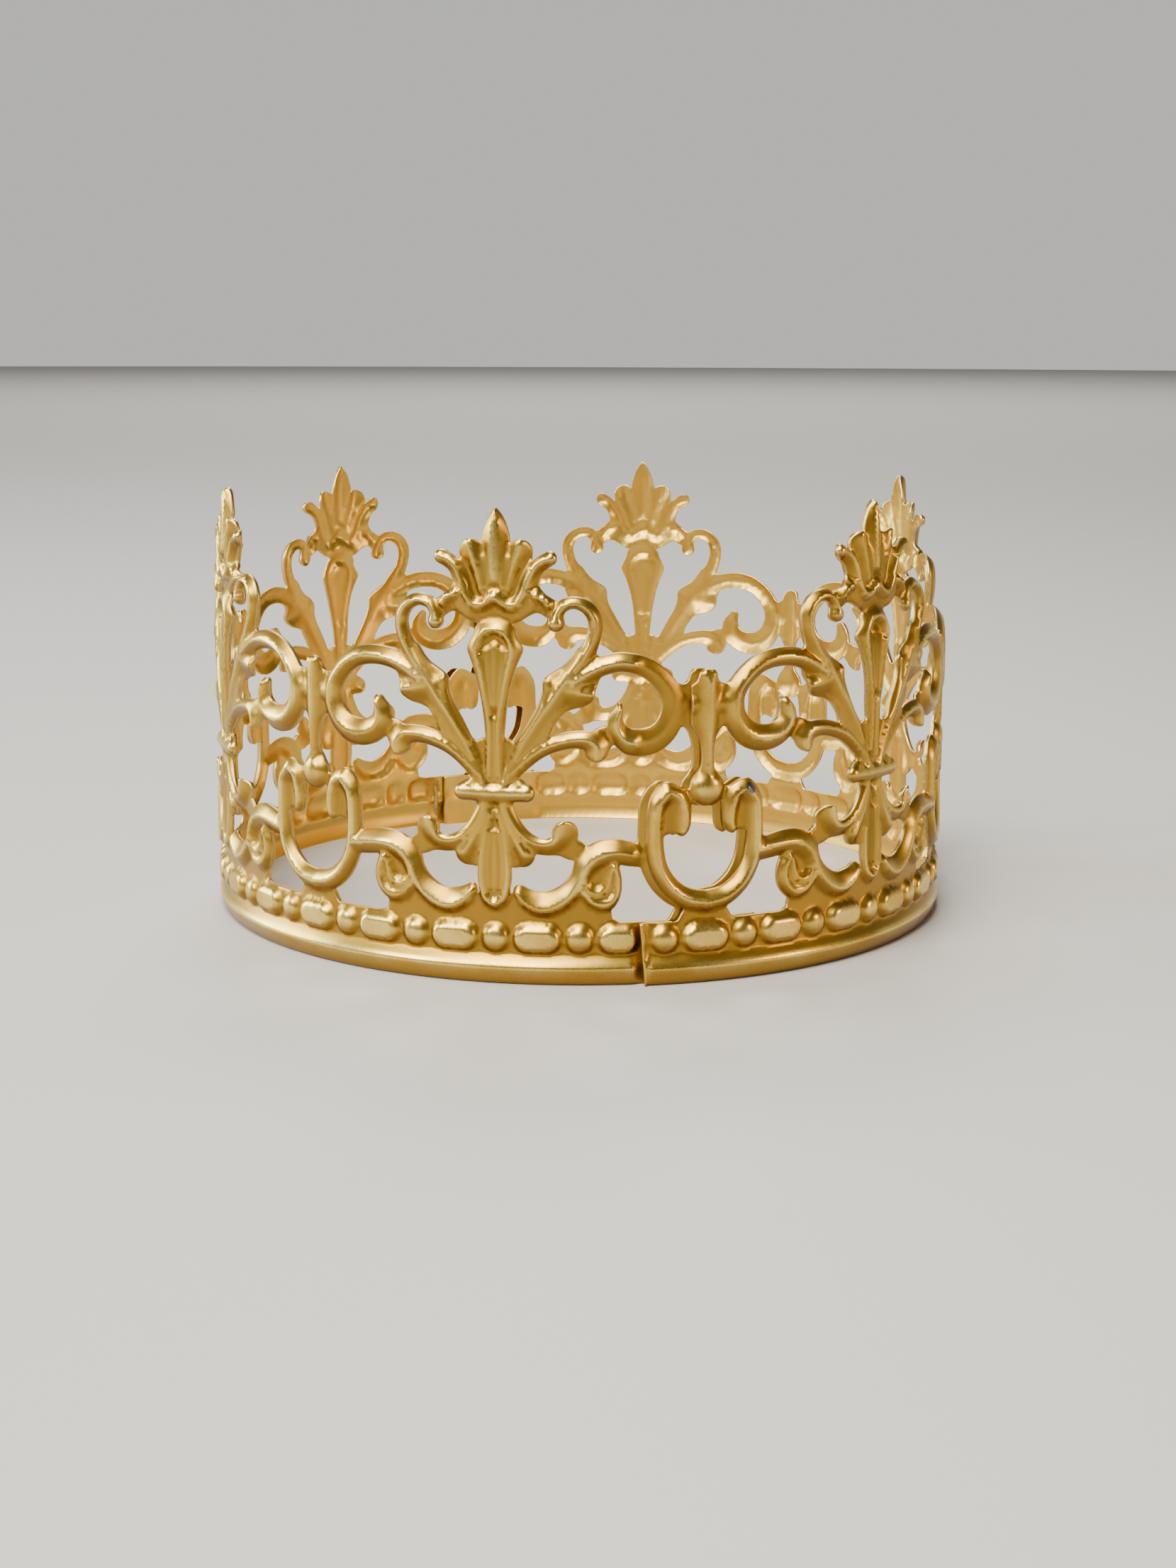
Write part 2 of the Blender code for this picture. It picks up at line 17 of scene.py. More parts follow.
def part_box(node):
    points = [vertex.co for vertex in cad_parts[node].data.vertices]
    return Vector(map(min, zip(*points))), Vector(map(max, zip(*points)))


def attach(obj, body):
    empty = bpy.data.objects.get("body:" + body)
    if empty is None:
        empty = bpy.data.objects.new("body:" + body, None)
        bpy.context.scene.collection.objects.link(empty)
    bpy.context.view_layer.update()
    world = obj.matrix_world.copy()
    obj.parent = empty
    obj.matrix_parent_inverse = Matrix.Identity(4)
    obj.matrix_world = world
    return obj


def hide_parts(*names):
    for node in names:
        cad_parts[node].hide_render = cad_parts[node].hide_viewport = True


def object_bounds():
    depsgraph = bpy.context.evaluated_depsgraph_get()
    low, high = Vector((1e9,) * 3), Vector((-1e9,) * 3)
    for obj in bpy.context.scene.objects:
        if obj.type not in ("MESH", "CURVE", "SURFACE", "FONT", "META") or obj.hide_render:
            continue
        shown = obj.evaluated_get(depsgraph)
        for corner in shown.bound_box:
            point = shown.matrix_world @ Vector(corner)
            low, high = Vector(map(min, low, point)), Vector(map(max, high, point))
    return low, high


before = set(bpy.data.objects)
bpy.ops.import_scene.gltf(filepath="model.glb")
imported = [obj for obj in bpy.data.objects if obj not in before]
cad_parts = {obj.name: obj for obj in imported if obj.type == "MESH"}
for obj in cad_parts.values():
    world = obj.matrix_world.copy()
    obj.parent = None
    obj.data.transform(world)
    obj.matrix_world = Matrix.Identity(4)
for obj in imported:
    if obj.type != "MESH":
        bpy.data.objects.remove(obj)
CAD_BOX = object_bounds()

# Driving dimensions of the drawing, in millimetres and degrees, as in the part.
DRAWN_RADIUS = 70.0
FLEURONS = 6
PERIOD = 2 * math.pi * DRAWN_RADIUS / FLEURONS
HALF = PERIOD / 2
STEP = 360.0 / FLEURONS
WALL_RADIUS = 69.4
SHEET = 0.8
GAP = 0.3
FRONT_FLEURON = -11.9
LEAN_START = 42.0
LEAN = 1.3
TIP_HEIGHT = 80.0
DRAWN_HEIGHT = 80.1        # with the round end of the tip
STRIP_FLEURONS = 3
LAP_HALF = 11.3
BAND_TOP = 10.8
BEAD_Z = 7.9
BEAD_RADIUS = 2.55
BEAD_RISE = 1.1
BEAD_SINK = 0.35
MAX_RISE = 1.15
SINK = 0.5                 # how far the sheet's outline lies back from the part's ground
LONG_BEAD_HALF = 4.25
LONG_BEAD_FLAT = 1.3       # how much of a long bead's round top is cut flat
BEAD_PITCH = PERIOD / 10
BEADS = 6                  # in half a period
WEB_CUT = 3.0
MM = (CAD_BOX[1][2] - CAD_BOX[0][2]) / DRAWN_HEIGHT

# Fineness of the mesh, in millimetres.
FIELD_STEP = 0.25          # grid on which the joined outline is found
OUTLINE_STEP = 0.46
FILL_STEP = 0.62
FEATURE_STEP = 0.4
FILL_CLOSEST = 0.36        # no filling point is nearer to another point
FEATURE_CLOSEST = 0.25     # the same for points along the crests and valleys
VALLEY_STEP = 0.3          # grid on which the valleys between ridges are found
LOWEST_VALLEY = 0.05       # a valley lower than this is the flat ground
PRESS_RADIUS = 0.27        # crests and valleys are rounded over this distance
EDGE_INSET = 0.17
CURVE_STEP = 0.8
FILLET = 0.3               # how wide the crotches between shapes are rounded
EDGE_ROUND = 0.3           # how far in from the outline the sheet's edge is rounded
EDGE_DROP = 0.16
BACK_PASSES = 3            # times the back is averaged, as the die marks it less sharply
BACK_SHARE = 0.6           # how much of the neighbours' average is taken each time
BACK_PLAY = 0.25           # how far the back may come nearer to the front than SHEET
FIELD_BELOW = 2.2          # grid steps that the outline's grid starts below the table
FIELD_ABOVE = 1.5          # and how far it goes on above the tip
SHORTEST_CHAIN = 8         # points in the shortest outline that is kept
FIRST_FILL_ROW = 0.3
TINY = 1e-9                # keeps a division away from zero
CLOSE = 1e-4               # points nearer than this are one point
END_SNAP = 1e-3            # points nearer than this to a straight end are put on it
SMALLEST_AREA = 1e-5       # square millimetres; a smaller triangle is left out

# How a strip's ends fit in the laps, in millimetres; the ring's axis at that end is zero.
SLIP = 1.2                 # the inner end lies this far aside
SLIP_START = 17.0
SLIP_RUN = 5.0
FLATTEN = 0.6              # share of the relief that the inner end loses in the lap
TUCK = 0.3                 # how far it also lies back
FLAT_START = 12.0
FLAT_RUN = 2.2
LIP_WIDTH = 1.2            # the outer end's cut edge stands proud
LIP_RISE = 0.75
LIP_SLANT = 0.45

# Scrolls of the right half of a fleuron: (s, z, half width) on the centre line.
LOOP = [(10.6, 61.3, 1.5), (10.8, 62.9, 1.05), (12.0, 64.3, 1.05), (13.9, 64.65, 1.05),
        (15.9, 63.8, 1.15), (17.1, 62.1, 1.25), (17.2, 60.0, 1.25), (16.5, 57.7, 1.3),
        (15.1, 55.2, 1.6), (13.2, 52.6, 2.0), (10.3, 48.1, 2.1), (7.4, 43.8, 2.0),
        (4.4, 39.0, 1.6), (2.4, 35.0, 1.2)]
BIG_SCROLL = [(13.5, 51.6, 1.9), (16.0, 53.2, 1.7), (19.3, 54.5, 1.65), (23.0, 54.85, 1.65),
              (26.6, 54.1, 1.65), (29.6, 52.1, 1.75), (31.6, 49.3, 1.9), (31.9, 46.4, 2.05),
              (30.8, 43.7, 2.2), (28.6, 41.9, 2.3), (25.9, 41.35, 2.3), (23.3, 41.9, 2.2),
              (21.5, 43.4, 2.1), (21.2, 45.3, 1.8), (21.9, 47.2, 1.0)]
LOWER_BRANCH = [(2.0, 34.6, 1.0), (4.6, 37.4, 1.15), (7.8, 40.0, 1.25), (11.2, 41.5, 1.4),
                (14.4, 42.0, 1.5), (16.7, 41.5, 1.9), (17.4, 40.5, 2.2)]
BRANCH_SPUR = [(8.0, 41.2, 1.0), (9.4, 43.6, 0.4)]
PETAL_MIDDLE = [(0.0, 66.0, 1.6), (0.0, 70.0, 2.1), (0.0, 74.5, 2.5), (0.0, 77.0, 1.95),
                (0.0, 78.8, 1.1), (0.0, 79.9, 0.2)]
PETAL_SECOND = [(1.9, 65.5, 1.2), (3.0, 68.5, 1.7), (4.1, 71.5, 2.1), (4.35, 72.8, 2.15)]
PETAL_OUTER = [(3.4, 63.9, 1.3), (5.1, 65.8, 1.5), (6.1, 68.2, 1.45), (7.3, 70.4, 1.3),
               (9.5, 71.85, 1.25)]
COLLAR = [(0.0, 32.8, 1.75), (3.0, 32.8, 1.6), (5.5, 32.85, 1.6)]
SIDE_SCROLL = [(1.6, 31.5, 1.3), (2.5, 28.9, 1.35), (3.9, 26.4, 1.45), (6.0, 24.5, 1.5),
               (8.6, 23.75, 1.45), (11.0, 24.3, 1.75), (12.1, 26.0, 2.35)]
WAVE = [(27.4, 22.0, 1.9), (24.5, 22.5, 2.1), (21.2, 22.95, 2.2), (18.2, 22.5, 2.25),
        (15.9, 20.9, 2.1), (14.9, 18.7, 1.8), (13.3, 16.3, 1.9), (10.8, 14.4, 2.1),
        (8.2, 13.8, 2.15), (5.8, 14.7, 1.8), (4.2, 16.2, 1.0)]
CURL = [(20.7, 20.4, 1.3), (21.6, 18.1, 1.25), (21.2, 15.8, 1.4), (19.3, 14.2, 1.5),
        (17.1, 14.6, 1.4), (15.4, 16.3, 1.3)]
COLLAR_CURL = [(3.2, 33.6, 0.8), (4.3, 34.5, 0.75), (5.2, 34.1, 0.6)]

# Flat shapes of the same half; one that starts and ends on the axis is mirrored across it.
TORCH = [(0.0, 62.0), (1.4, 61.8), (2.7, 61.1), (3.6, 60.3), (3.7, 59.3), (4.9, 57.1),
         (4.6, 55.9), (3.7, 53.8), (2.8, 50.8), (2.2, 47.5), (1.8, 44.0), (1.5, 40.0),
         (1.6, 35.5), (2.0, 33.0), (0.0, 33.0)]
CUP = [(0.0, 61.0), (3.4, 61.1), (4.8, 61.7), (6.3, 62.6), (7.6, 62.9), (9.4, 62.0),
       (10.6, 63.0), (11.4, 64.6), (10.4, 64.95), (9.2, 65.7), (8.0, 66.7), (7.3, 67.8),
       (6.0, 70.0), (4.0, 72.0), (0.0, 74.0)]
STEM = [(16.9, 56.9), (14.5, 57.3), (12.1, 54.5), (8.5, 52.1), (8.2, 49.8), (7.0, 46.8),
        (5.2, 43.5), (3.3, 41.35), (1.4, 41.9), (1.0, 34.0), (2.2, 34.0), (5.0, 38.5),
        (8.2, 41.5), (9.8, 44.0), (11.3, 46.0), (13.3, 47.0), (15.5, 47.5), (16.8, 48.4),
        (17.2, 49.9), (18.2, 52.8), (18.0, 54.8)]
BRANCH_BRIDGE = [(16.8, 43.3), (18.9, 44.2), (20.6, 43.6), (20.4, 41.2), (19.2, 40.2),
                 (17.6, 41.0)]
FANG = [(1.6, 29.5), (3.2, 27.4), (5.4, 24.4), (7.0, 22.6), (6.6, 21.0), (5.5, 20.25),
        (4.2, 20.2), (2.6, 20.8)]
BUD = [(0.0, 12.0), (1.1, 12.7), (2.2, 14.4), (2.8, 16.8), (3.0, 19.2), (2.6, 22.5),
       (2.4, 26.0), (2.0, 31.0), (0.0, 32.0)]
SIDE_BRIDGE = [(8.8, 23.0), (11.4, 22.2), (12.8, 21.6), (15.6, 21.6), (15.9, 23.6),
               (14.4, 24.9), (12.0, 25.0)]
GROUND = [(0.0, 10.0), (21.2, 10.0), (20.4, 11.4), (20.0, 13.2), (16.6, 14.6), (14.6, 15.6),
          (12.8, 15.2), (9.0, 13.0), (4.6, 15.4), (2.4, 15.6), (0.0, 15.0)]

# The ring between two fleurons: s is measured from the ring's own axis.
RING = [(0.0, 14.0, 1.9), (3.6, 14.75, 1.8), (6.6, 17.0, 1.7), (8.5, 20.2, 1.6),
        (9.15, 23.8, 1.55), (9.2, 27.5, 1.5), (8.8, 31.0, 1.6), (7.1, 33.1, 1.65)]
ARM = [(2.7, 33.0), (2.8, 29.8), (3.0, 27.2), (3.6, 25.9), (4.6, 25.4), (5.9, 26.1),
       (7.4, 25.7), (9.6, 26.0), (10.2, 31.0), (9.0, 33.8), (7.4, 34.8), (5.6, 34.4),
       (4.2, 33.6)]
LINK = [(0.0, 53.6), (0.9, 53.5), (1.6, 52.9), (1.9, 51.6), (3.0, 50.9), (4.6, 51.0),
        (4.8, 47.5), (4.6, 44.0), (2.9, 43.9), (1.9, 42.8), (1.3, 41.0), (1.1, 38.8),
        (1.3, 36.8), (2.0, 35.6), (0.0, 35.0)]
FOOT = [(0.0, 10.0), (5.0, 10.0), (4.6, 11.6), (3.9, 12.7), (2.6, 13.6), (0.0, 13.6)]
BALL = [(0.0, 33.4, 3.05), (0.1, 33.4, 3.05)]

# The pit inside the curl, and ridges that are no scroll of their own, along their crests.
CURL_WEB = [(15.4, 17.4), (16.0, 19.6), (17.4, 21.0), (20.2, 21.2), (21.2, 19.2), (21.1, 16.8),
            (19.8, 15.0), (17.4, 14.8), (16.0, 16.0)]
PETAL_KEEL = [(0.0, 68.2, 1.3), (0.0, 69.6, 2.0), (0.0, 72.0, 2.5), (0.0, 74.5, 2.5),
              (0.0, 77.0, 1.95), (0.0, 78.8, 1.1), (0.0, 79.9, 0.25)]
PETAL_FLUTE = [(2.2, 66.5, 1.1), (2.9, 69.4, 1.35), (3.5, 71.5, 1.8), (4.1, 73.2, 2.15),
               (4.35, 74.6, 2.0)]
PETAL_RIB = [(1.35, 67.0, 0.9), (1.65, 69.0, 1.05), (1.95, 70.8, 1.0), (2.2, 72.2, 0.6)]
CUP_RIM = [(0.0, 65.7, 1.3), (0.9, 65.0, 1.2), (1.8, 64.25, 1.05), (2.9, 63.95, 1.05),
           (4.1, 64.6, 1.1), (5.1, 66.2, 1.15), (5.7, 68.2, 1.15), (6.7, 70.2, 1.15),
           (8.1, 71.4, 1.2), (9.5, 71.85, 1.25)]
CUP_FLANK = [(4.6, 62.6, 1.5), (6.3, 64.2, 1.3), (7.2, 66.2, 1.0)]
TORCH_RIM = [(0.0, 60.7, 1.25), (1.7, 60.25, 1.25), (2.95, 58.95, 1.2), (3.6, 57.1, 1.35),
             (3.0, 54.3, 1.3), (2.2, 51.0, 1.1), (1.5, 47.5, 0.95), (0.95, 44.5, 0.9),
             (0.85, 40.0, 0.85), (0.95, 35.5, 0.85)]
TORCH_RIB = [(0.0, 57.3, 0.75), (0.0, 54.0, 0.9), (0.0, 50.0, 0.8), (0.0, 46.9, 0.55)]
TORCH_SIDE_RIB = [(1.45, 56.7, 0.7), (1.25, 54.0, 0.85), (0.85, 50.5, 0.75), (0.4, 47.4, 0.5)]
TORCH_BASE = [(0.0, 45.0, 0.9), (0.0, 40.0, 1.6), (0.0, 35.5, 2.2)]
STEM_EDGE = [(9.1, 51.8, 0.8), (8.9, 49.6, 0.85), (7.7, 46.8, 0.85), (5.9, 43.7, 0.8),
             (4.1, 41.5, 0.6)]
STEM_BASE = [(2.0, 34.5, 1.4), (5.0, 38.6, 2.0), (8.4, 42.6, 2.3), (10.6, 45.4, 1.8)]
LOBE_RIDGE = [(10.6, 50.6, 1.8), (13.4, 50.1, 2.3), (16.4, 49.6, 1.6)]
BRANCH_RIDGE = [(2.0, 34.6, 1.0), (4.6, 37.4, 1.2), (7.8, 40.0, 1.35), (11.2, 41.5, 1.5),
                (14.4, 42.05, 1.7), (16.5, 41.8, 2.1), (17.7, 40.6, 2.5), (17.7, 38.6, 2.1)]
SIDE_RIDGE = [(1.7, 31.4, 1.3), (2.7, 28.9, 1.45), (4.1, 26.65, 1.65), (6.1, 24.95, 1.75),
              (8.6, 24.3, 1.85), (10.3, 24.9, 2.2), (11.2, 26.4, 2.7), (11.5, 28.5, 2.4)]
FANG_RIDGE = [(1.3, 30.8, 1.1), (2.2, 28.2, 1.3), (3.5, 25.4, 1.7), (5.5, 22.4, 2.1)]
BUD_RIM = [(0.7, 29.4, 0.9), (1.6, 26.8, 0.9), (2.25, 22.8, 0.95), (2.45, 19.0, 1.0),
           (2.15, 16.2, 1.05), (1.3, 14.5, 1.15), (0.0, 13.8, 1.25)]
BUD_RIB = [(0.0, 26.4, 0.4), (0.0, 22.0, 0.8), (0.0, 18.0, 0.85), (0.0, 15.7, 0.6)]
BUD_SIDE_RIB = [(0.75, 26.2, 0.4), (1.25, 22.0, 0.7), (1.35, 18.8, 0.75), (1.0, 16.3, 0.5)]
CURL_INNER = [(20.7, 20.7, 0.9), (19.95, 19.3, 1.05), (19.7, 17.8, 1.15), (18.9, 16.5, 1.15),
              (17.6, 16.0, 1.1), (16.3, 16.5, 1.0), (15.6, 17.8, 0.8)]
ARM_FOLD = [(7.2, 33.4, 1.6), (5.2, 32.4, 1.7), (4.3, 30.0, 1.6), (4.1, 27.6, 1.4),
            (4.5, 26.2, 1.0)]
LINK_RIDGE = [(0.0, 36.5, 1.3), (0.0, 41.0, 1.3), (0.0, 45.0, 2.1), (0.0, 49.5, 2.1),
              (0.6, 52.8, 1.2)]
LINK_WEB = [(2.6, 47.6, 1.6), (4.4, 47.5, 2.6)]

# Balls: (s, z, radius, rise).
FLEURON_BALLS = [(10.5, 61.2, 1.5, 1.1), (9.7, 71.9, 1.3, 1.15), (0.0, 65.5, 1.4, 1.15),
                 (7.1, 65.8, 1.0, 1.0), (8.4, 65.3, 0.95, 1.1), (9.1, 64.3, 0.95, 0.9),
                 (5.6, 32.9, 1.7, 1.15), (1.75, 34.4, 0.9, 0.95), (21.6, 46.2, 1.1, 0.9)]
RING_BALLS = [(0.0, 33.4, 3.0, 1.15)]


def spline(points, step):
    """Points about step apart on a Catmull-Rom curve through the given points."""
    data = np.array(points, dtype=float)
    padded = np.vstack([2 * data[0] - data[1], data, 2 * data[-1] - data[-2]])
    out = []
    for i in range(1, len(padded) - 2):
        before, start, end, after = padded[i - 1:i + 3]
        count = max(1, round(np.linalg.norm((end - start)[:2]) / step))
        for t in np.arange(count) / count:
            out.append(0.5 * (2 * start + (end - before) * t
                              + (2 * before - 5 * start + 4 * end - after) * t ** 2
                              + (3 * start - before - 3 * end + after) * t ** 3))
    out.append(data[-1])
    return np.array(out)


def closed_spline(outline):
    """A smooth closed outline through the given corners."""
    data = [np.array(p, dtype=float) for p in outline]
    wrapped = spline(data[-2:] + data + data[:2], CURVE_STEP)
    start = int(np.argmin(np.linalg.norm(wrapped - data[0], axis=1)))
    matches = np.where(np.linalg.norm(wrapped - data[0], axis=1) < FIELD_STEP / 10)[0]
    return wrapped[start:matches[-1]] if len(matches) > 1 else wrapped


def both_sides(outline):
    """Mirror an outline that starts and ends on the axis; leave any other as it is."""
    if outline[0][0] != 0.0 or outline[-1][0] != 0.0:
        return outline
    return outline + [(-s, z) for s, z in outline[-2:0:-1]]


def from_ring(points):
    """Move a shape drawn from the ring's axis to the far side of the half period."""
    data = np.array(points, dtype=float)
    data[:, 0] = HALF - data[:, 0]
    return data


def line_distance(points, line):
    """How far each point is from a centre line, on which side, and the line's values there."""
    best = np.full(len(points), np.inf)
    values = np.ones((len(points), line.shape[1] - 2))
    side = np.ones(len(points))
    for a, b in zip(line[:-1], line[1:]):
        along = (b - a)[:2]
        offset = points - a[:2]
        t = np.clip((offset @ along) / max(along @ along, TINY), 0.0, 1.0)
        gap = np.linalg.norm(offset - t[:, None] * along, axis=1)
        closer = gap < best
        cross = along[0] * offset[:, 1] - along[1] * offset[:, 0]
        best = np.where(closer, gap, best)
        values = np.where(closer[:, None], a[2:] + t[:, None] * (b - a)[2:], values)
        side = np.where(closer, np.sign(cross), side)
    return best, side, values


def inside(points, starts, ends):
    """True for each point that an odd number of edges passes to the right of."""
    result = np.zeros(len(points), dtype=bool)
    for a, b in zip(starts, ends):
        spans = (a[1] > points[:, 1]) != (b[1] > points[:, 1])
        rise = b[1] - a[1] if b[1] != a[1] else 1.0
        crossing = a[0] + (points[:, 1] - a[1]) / rise * (b[0] - a[0])
        result ^= spans & (points[:, 0] < crossing)
    return result


def edge_distance(points, starts, ends):
    """Distance from each point to the nearest of the edges."""
    best = np.full(len(points), np.inf)
    for a, b in zip(starts, ends):
        along = b - a
        t = np.clip(((points - a) @ along) / max(along @ along, TINY), 0.0, 1.0)
        best = np.minimum(best, np.linalg.norm(points - a - t[:, None] * along, axis=1))
    return best


def stroke_field(points, line):
    """How far each point is outside a scroll; negative within it."""
    gap, _, values = line_distance(points, spline(line, CURVE_STEP))
    return gap - values[:, 0]


def shape_field(points, outline):
    """How far each point is outside a flat shape; negative within it."""
    closed = closed_spline(outline)
    ends = np.roll(closed, -1, axis=0)
    gap = edge_distance(points, closed, ends)
    return np.where(inside(points, closed, ends), -gap, gap)


def join(first, second):
    """Union of two fields, with the crotch between them filled a little."""
    near = np.maximum(FILLET - np.abs(first - second), 0.0) / FILLET
    return np.minimum(first, second) - near ** 2 * FILLET / 4


def sheet_field(points, strokes, shapes):
    """How far each point is outside the sheet; negative where there is metal."""
    field = np.abs(points[:, 1] - BAND_TOP / 2) - BAND_TOP / 2
    for line in strokes:
        field = join(field, stroke_field(points, line))
    for outline in shapes:
        field = join(field, shape_field(points, outline))
    return field


def crossing_chains(field, columns, rows):
    """Chains of points where the field on a grid crosses zero."""
    below = field < 0
    places = {}
    links = {}

    def place(key):
        kind, i, j = key
        if key not in places:
            i2, j2 = (i + 1, j) if kind == "s" else (i, j + 1)
            share = field[i, j] / (field[i, j] - field[i2, j2])
            places[key] = np.array([columns[i] + share * (columns[i2] - columns[i]),
                                    rows[j] + share * (rows[j2] - rows[j])])
        return key

    total = (below[:-1, :-1].astype(int) + below[1:, :-1] + below[:-1, 1:] + below[1:, 1:])
    for i, j in zip(*np.where((total > 0) & (total < 4))):
        sides = []
        for kind, a, b, same in (("s", i, j, below[i, j] == below[i + 1, j]),
                                 ("z", i + 1, j, below[i + 1, j] == below[i + 1, j + 1]),
                                 ("s", i, j + 1, below[i, j + 1] == below[i + 1, j + 1]),
                                 ("z", i, j, below[i, j] == below[i, j + 1])):
            if not same:
                sides.append(place((kind, a, b)))
        for one, other in zip(sides[::2], sides[1::2]):
            links.setdefault(one, []).append(other)
            links.setdefault(other, []).append(one)

    chains = []
    starts = [key for key, near in links.items() if len(near) == 1] + list(links)
    used = set()
    for start in starts:
        if start in used:
            continue
        chain = [start]
        used.add(start)
        while True:
            onward = [key for key in links[chain[-1]] if key not in used]
            if not onward:
                break
            chain.append(onward[0])
            used.add(onward[0])
        if len(links[start]) == 2:
            chain.append(start)
        chains.append(np.array([places[key] for key in chain]))
    return chains


def even_chain(chain, step):
    """The same chain, smoothed a little, with its points evenly spaced."""
    closed = np.allclose(chain[0], chain[-1])
    smooth = chain.copy()
    smooth[1:-1] = (chain[:-2] + 2 * chain[1:-1] + chain[2:]) / 4
    lengths = np.concatenate([[0.0], np.cumsum(np.linalg.norm(np.diff(smooth, axis=0), axis=1))])
    count = max(3 if closed else 1, round(lengths[-1] / step))
    places = np.linspace(0.0, lengths[-1], count + 1)
    return np.stack([np.interp(places, lengths, smooth[:, k]) for k in (0, 1)], axis=1)


def end_chains(field, column, rows, s):
    """Chains up a straight end of the half period, one for each stretch of metal."""
    below = field[column] < 0
    marks = []
    for j in np.where(below[:-1] != below[1:])[0]:
        share = field[column, j] / (field[column, j] - field[column, j + 1])
        marks.append(rows[j] + share * (rows[j + 1] - rows[j]))
    chains = []
    for low, high in zip(marks[::2], marks[1::2]):
        count = max(1, round((high - low) / OUTLINE_STEP))
        chains.append(np.array([(s, z) for z in np.linspace(low, high, count + 1)]))
    return chains


class Sieve:
    """Takes points in turn, and keeps each one that isn't too near an earlier one."""

    def __init__(self, cell):
        self.cell = cell
        self.cells = {}
        self.kept = []

    def near(self, point, closest):
        i, j = int(point[0] // self.cell), int(point[1] // self.cell)
        for a in (i - 1, i, i + 1):
            for b in (j - 1, j, j + 1):
                for other in self.cells.get((a, b), ()):
                    if math.dist(point, other) < closest:
                        return True
        return False

    def add(self, point, closest=0.0):
        if not self.near(point, closest):
            key = int(point[0] // self.cell), int(point[1] // self.cell)
            self.cells.setdefault(key, []).append(tuple(point))
            self.kept.append(tuple(point))


def bead_list():
    """(centre s, half length of the straight part) of each bead, long ones at odd steps."""
    return [(k * BEAD_PITCH, LONG_BEAD_HALF - BEAD_RADIUS if k % 2 else 0.0)
            for k in range(BEADS)]


class Ridge:
    """A raised line.  Its crest height and how far it leans to one side may each be given as a
    pair, for the line's start and end; roundness is 0 for a sharp crest and up to 1."""

    def __init__(self, line, crest, roundness=0.3, lean=0.0):
        curve = spline(line, CURVE_STEP)
        share = np.linspace(0.0, 1.0, len(curve))
        ends = [value if isinstance(value, tuple) else (value, value) for value in (crest, lean)]
        changing = [start + share * (end - start) for start, end in ends]
        self.line = np.column_stack([curve] + changing)
        self.roundness = roundness

    def height(self, points):
        gap, side, values = line_distance(points, self.line)
        width, crest, lean = values.T
        across = side * gap / width
        reach = np.where(across > lean, 1 - lean, 1 + lean)
        u = np.minimum(np.abs(across - lean) / reach, 1.0)
        profile = ((1 - self.roundness) * (1 - u)
                   + self.roundness * np.sqrt(np.maximum(1 - u ** 2, 0.0)))
        return np.where(gap < width, crest * profile, 0.0)

    def lines(self):
        """Points along the crest, and along the feet on both sides, for the mesh to follow."""
        line = spline(self.line, FEATURE_STEP)
        ahead = np.gradient(line[:, :2], axis=0)
        ahead /= np.maximum(np.linalg.norm(ahead, axis=1), TINY)[:, None]
        side = np.stack([-ahead[:, 1], ahead[:, 0]], axis=1) * line[:, 2:3]
        crest = line[:, :2] + line[:, 4:] * side
        return crest, np.concatenate([line[:, :2] + side, line[:, :2] - side])


class Ball:
    """A raised round lump."""

    def __init__(self, s, z, radius, crest):
        self.centre = np.array((s, z))
        self.radius = radius
        self.crest = crest

    def height(self, points):
        gap = np.linalg.norm(points - self.centre, axis=1) / self.radius
        return self.crest * np.sqrt(np.maximum(1 - gap ** 2, 0.0))

    def lines(self):
        """Points at its top and half way down, and points round its foot."""
        rings = []
        for radius in (0.6 * self.radius, self.radius):
            turn = np.linspace(0.0, 2 * math.pi, round(2 * math.pi * radius / FEATURE_STEP))
            rings.append(self.centre + radius * np.stack([np.cos(turn), np.sin(turn)], axis=1))
        return np.vstack([self.centre, rings[0]]), rings[1]


FLEURON_RIDGES = [
    Ridge(LOOP, (1.15, 0.8), 0.25, (0.0, -0.55)),
    Ridge(BIG_SCROLL, 1.15, 0.3),
    Ridge(BRANCH_RIDGE, (0.8, 1.15), 0.2, (0.2, 0.0)),
    Ridge(BRANCH_SPUR, 0.6),
    Ridge(PETAL_KEEL, 1.15, 0.05),
    Ridge(PETAL_FLUTE, (0.85, 1.1), 0.15),
    Ridge(PETAL_RIB, (0.85, 0.6), 0.2),
    Ridge(CUP_RIM, 1.15, 0.5),
    Ridge(CUP_FLANK, 0.45, 0.8),
    Ridge(COLLAR, 1.15, 0.85),
    Ridge(COLLAR_CURL, 0.85, 0.7),
    Ridge(SIDE_RIDGE, (0.8, 1.15), 0.2),
    Ridge(WAVE, 1.15, 0.25, (-0.15, 0.45)),
    Ridge(CURL, 1.0, 0.3, 0.15),
    Ridge(CURL_INNER, 0.9, 0.2),
    Ridge(STEM_EDGE, 0.75, 0.1),
    Ridge(STEM_BASE, 0.5, 0.9),
    Ridge(LOBE_RIDGE, (0.7, 0.95), 0.5),
    Ridge(FANG_RIDGE, (0.8, 1.05), 0.1),
    Ridge(TORCH_RIM, (1.15, 0.85), 0.2, (-0.6, 0.0)),
    Ridge(TORCH_RIB, 0.75, 0.3),
    Ridge(TORCH_SIDE_RIB, 0.7, 0.3),
    Ridge(TORCH_BASE, 0.5, 0.9),
    Ridge(BUD_RIM, (0.8, 1.15), 0.3, -0.15),
    Ridge(BUD_RIB, 0.75, 0.3),
    Ridge(BUD_SIDE_RIB, 0.7, 0.3),
] + [Ball(*ball) for ball in FLEURON_BALLS]
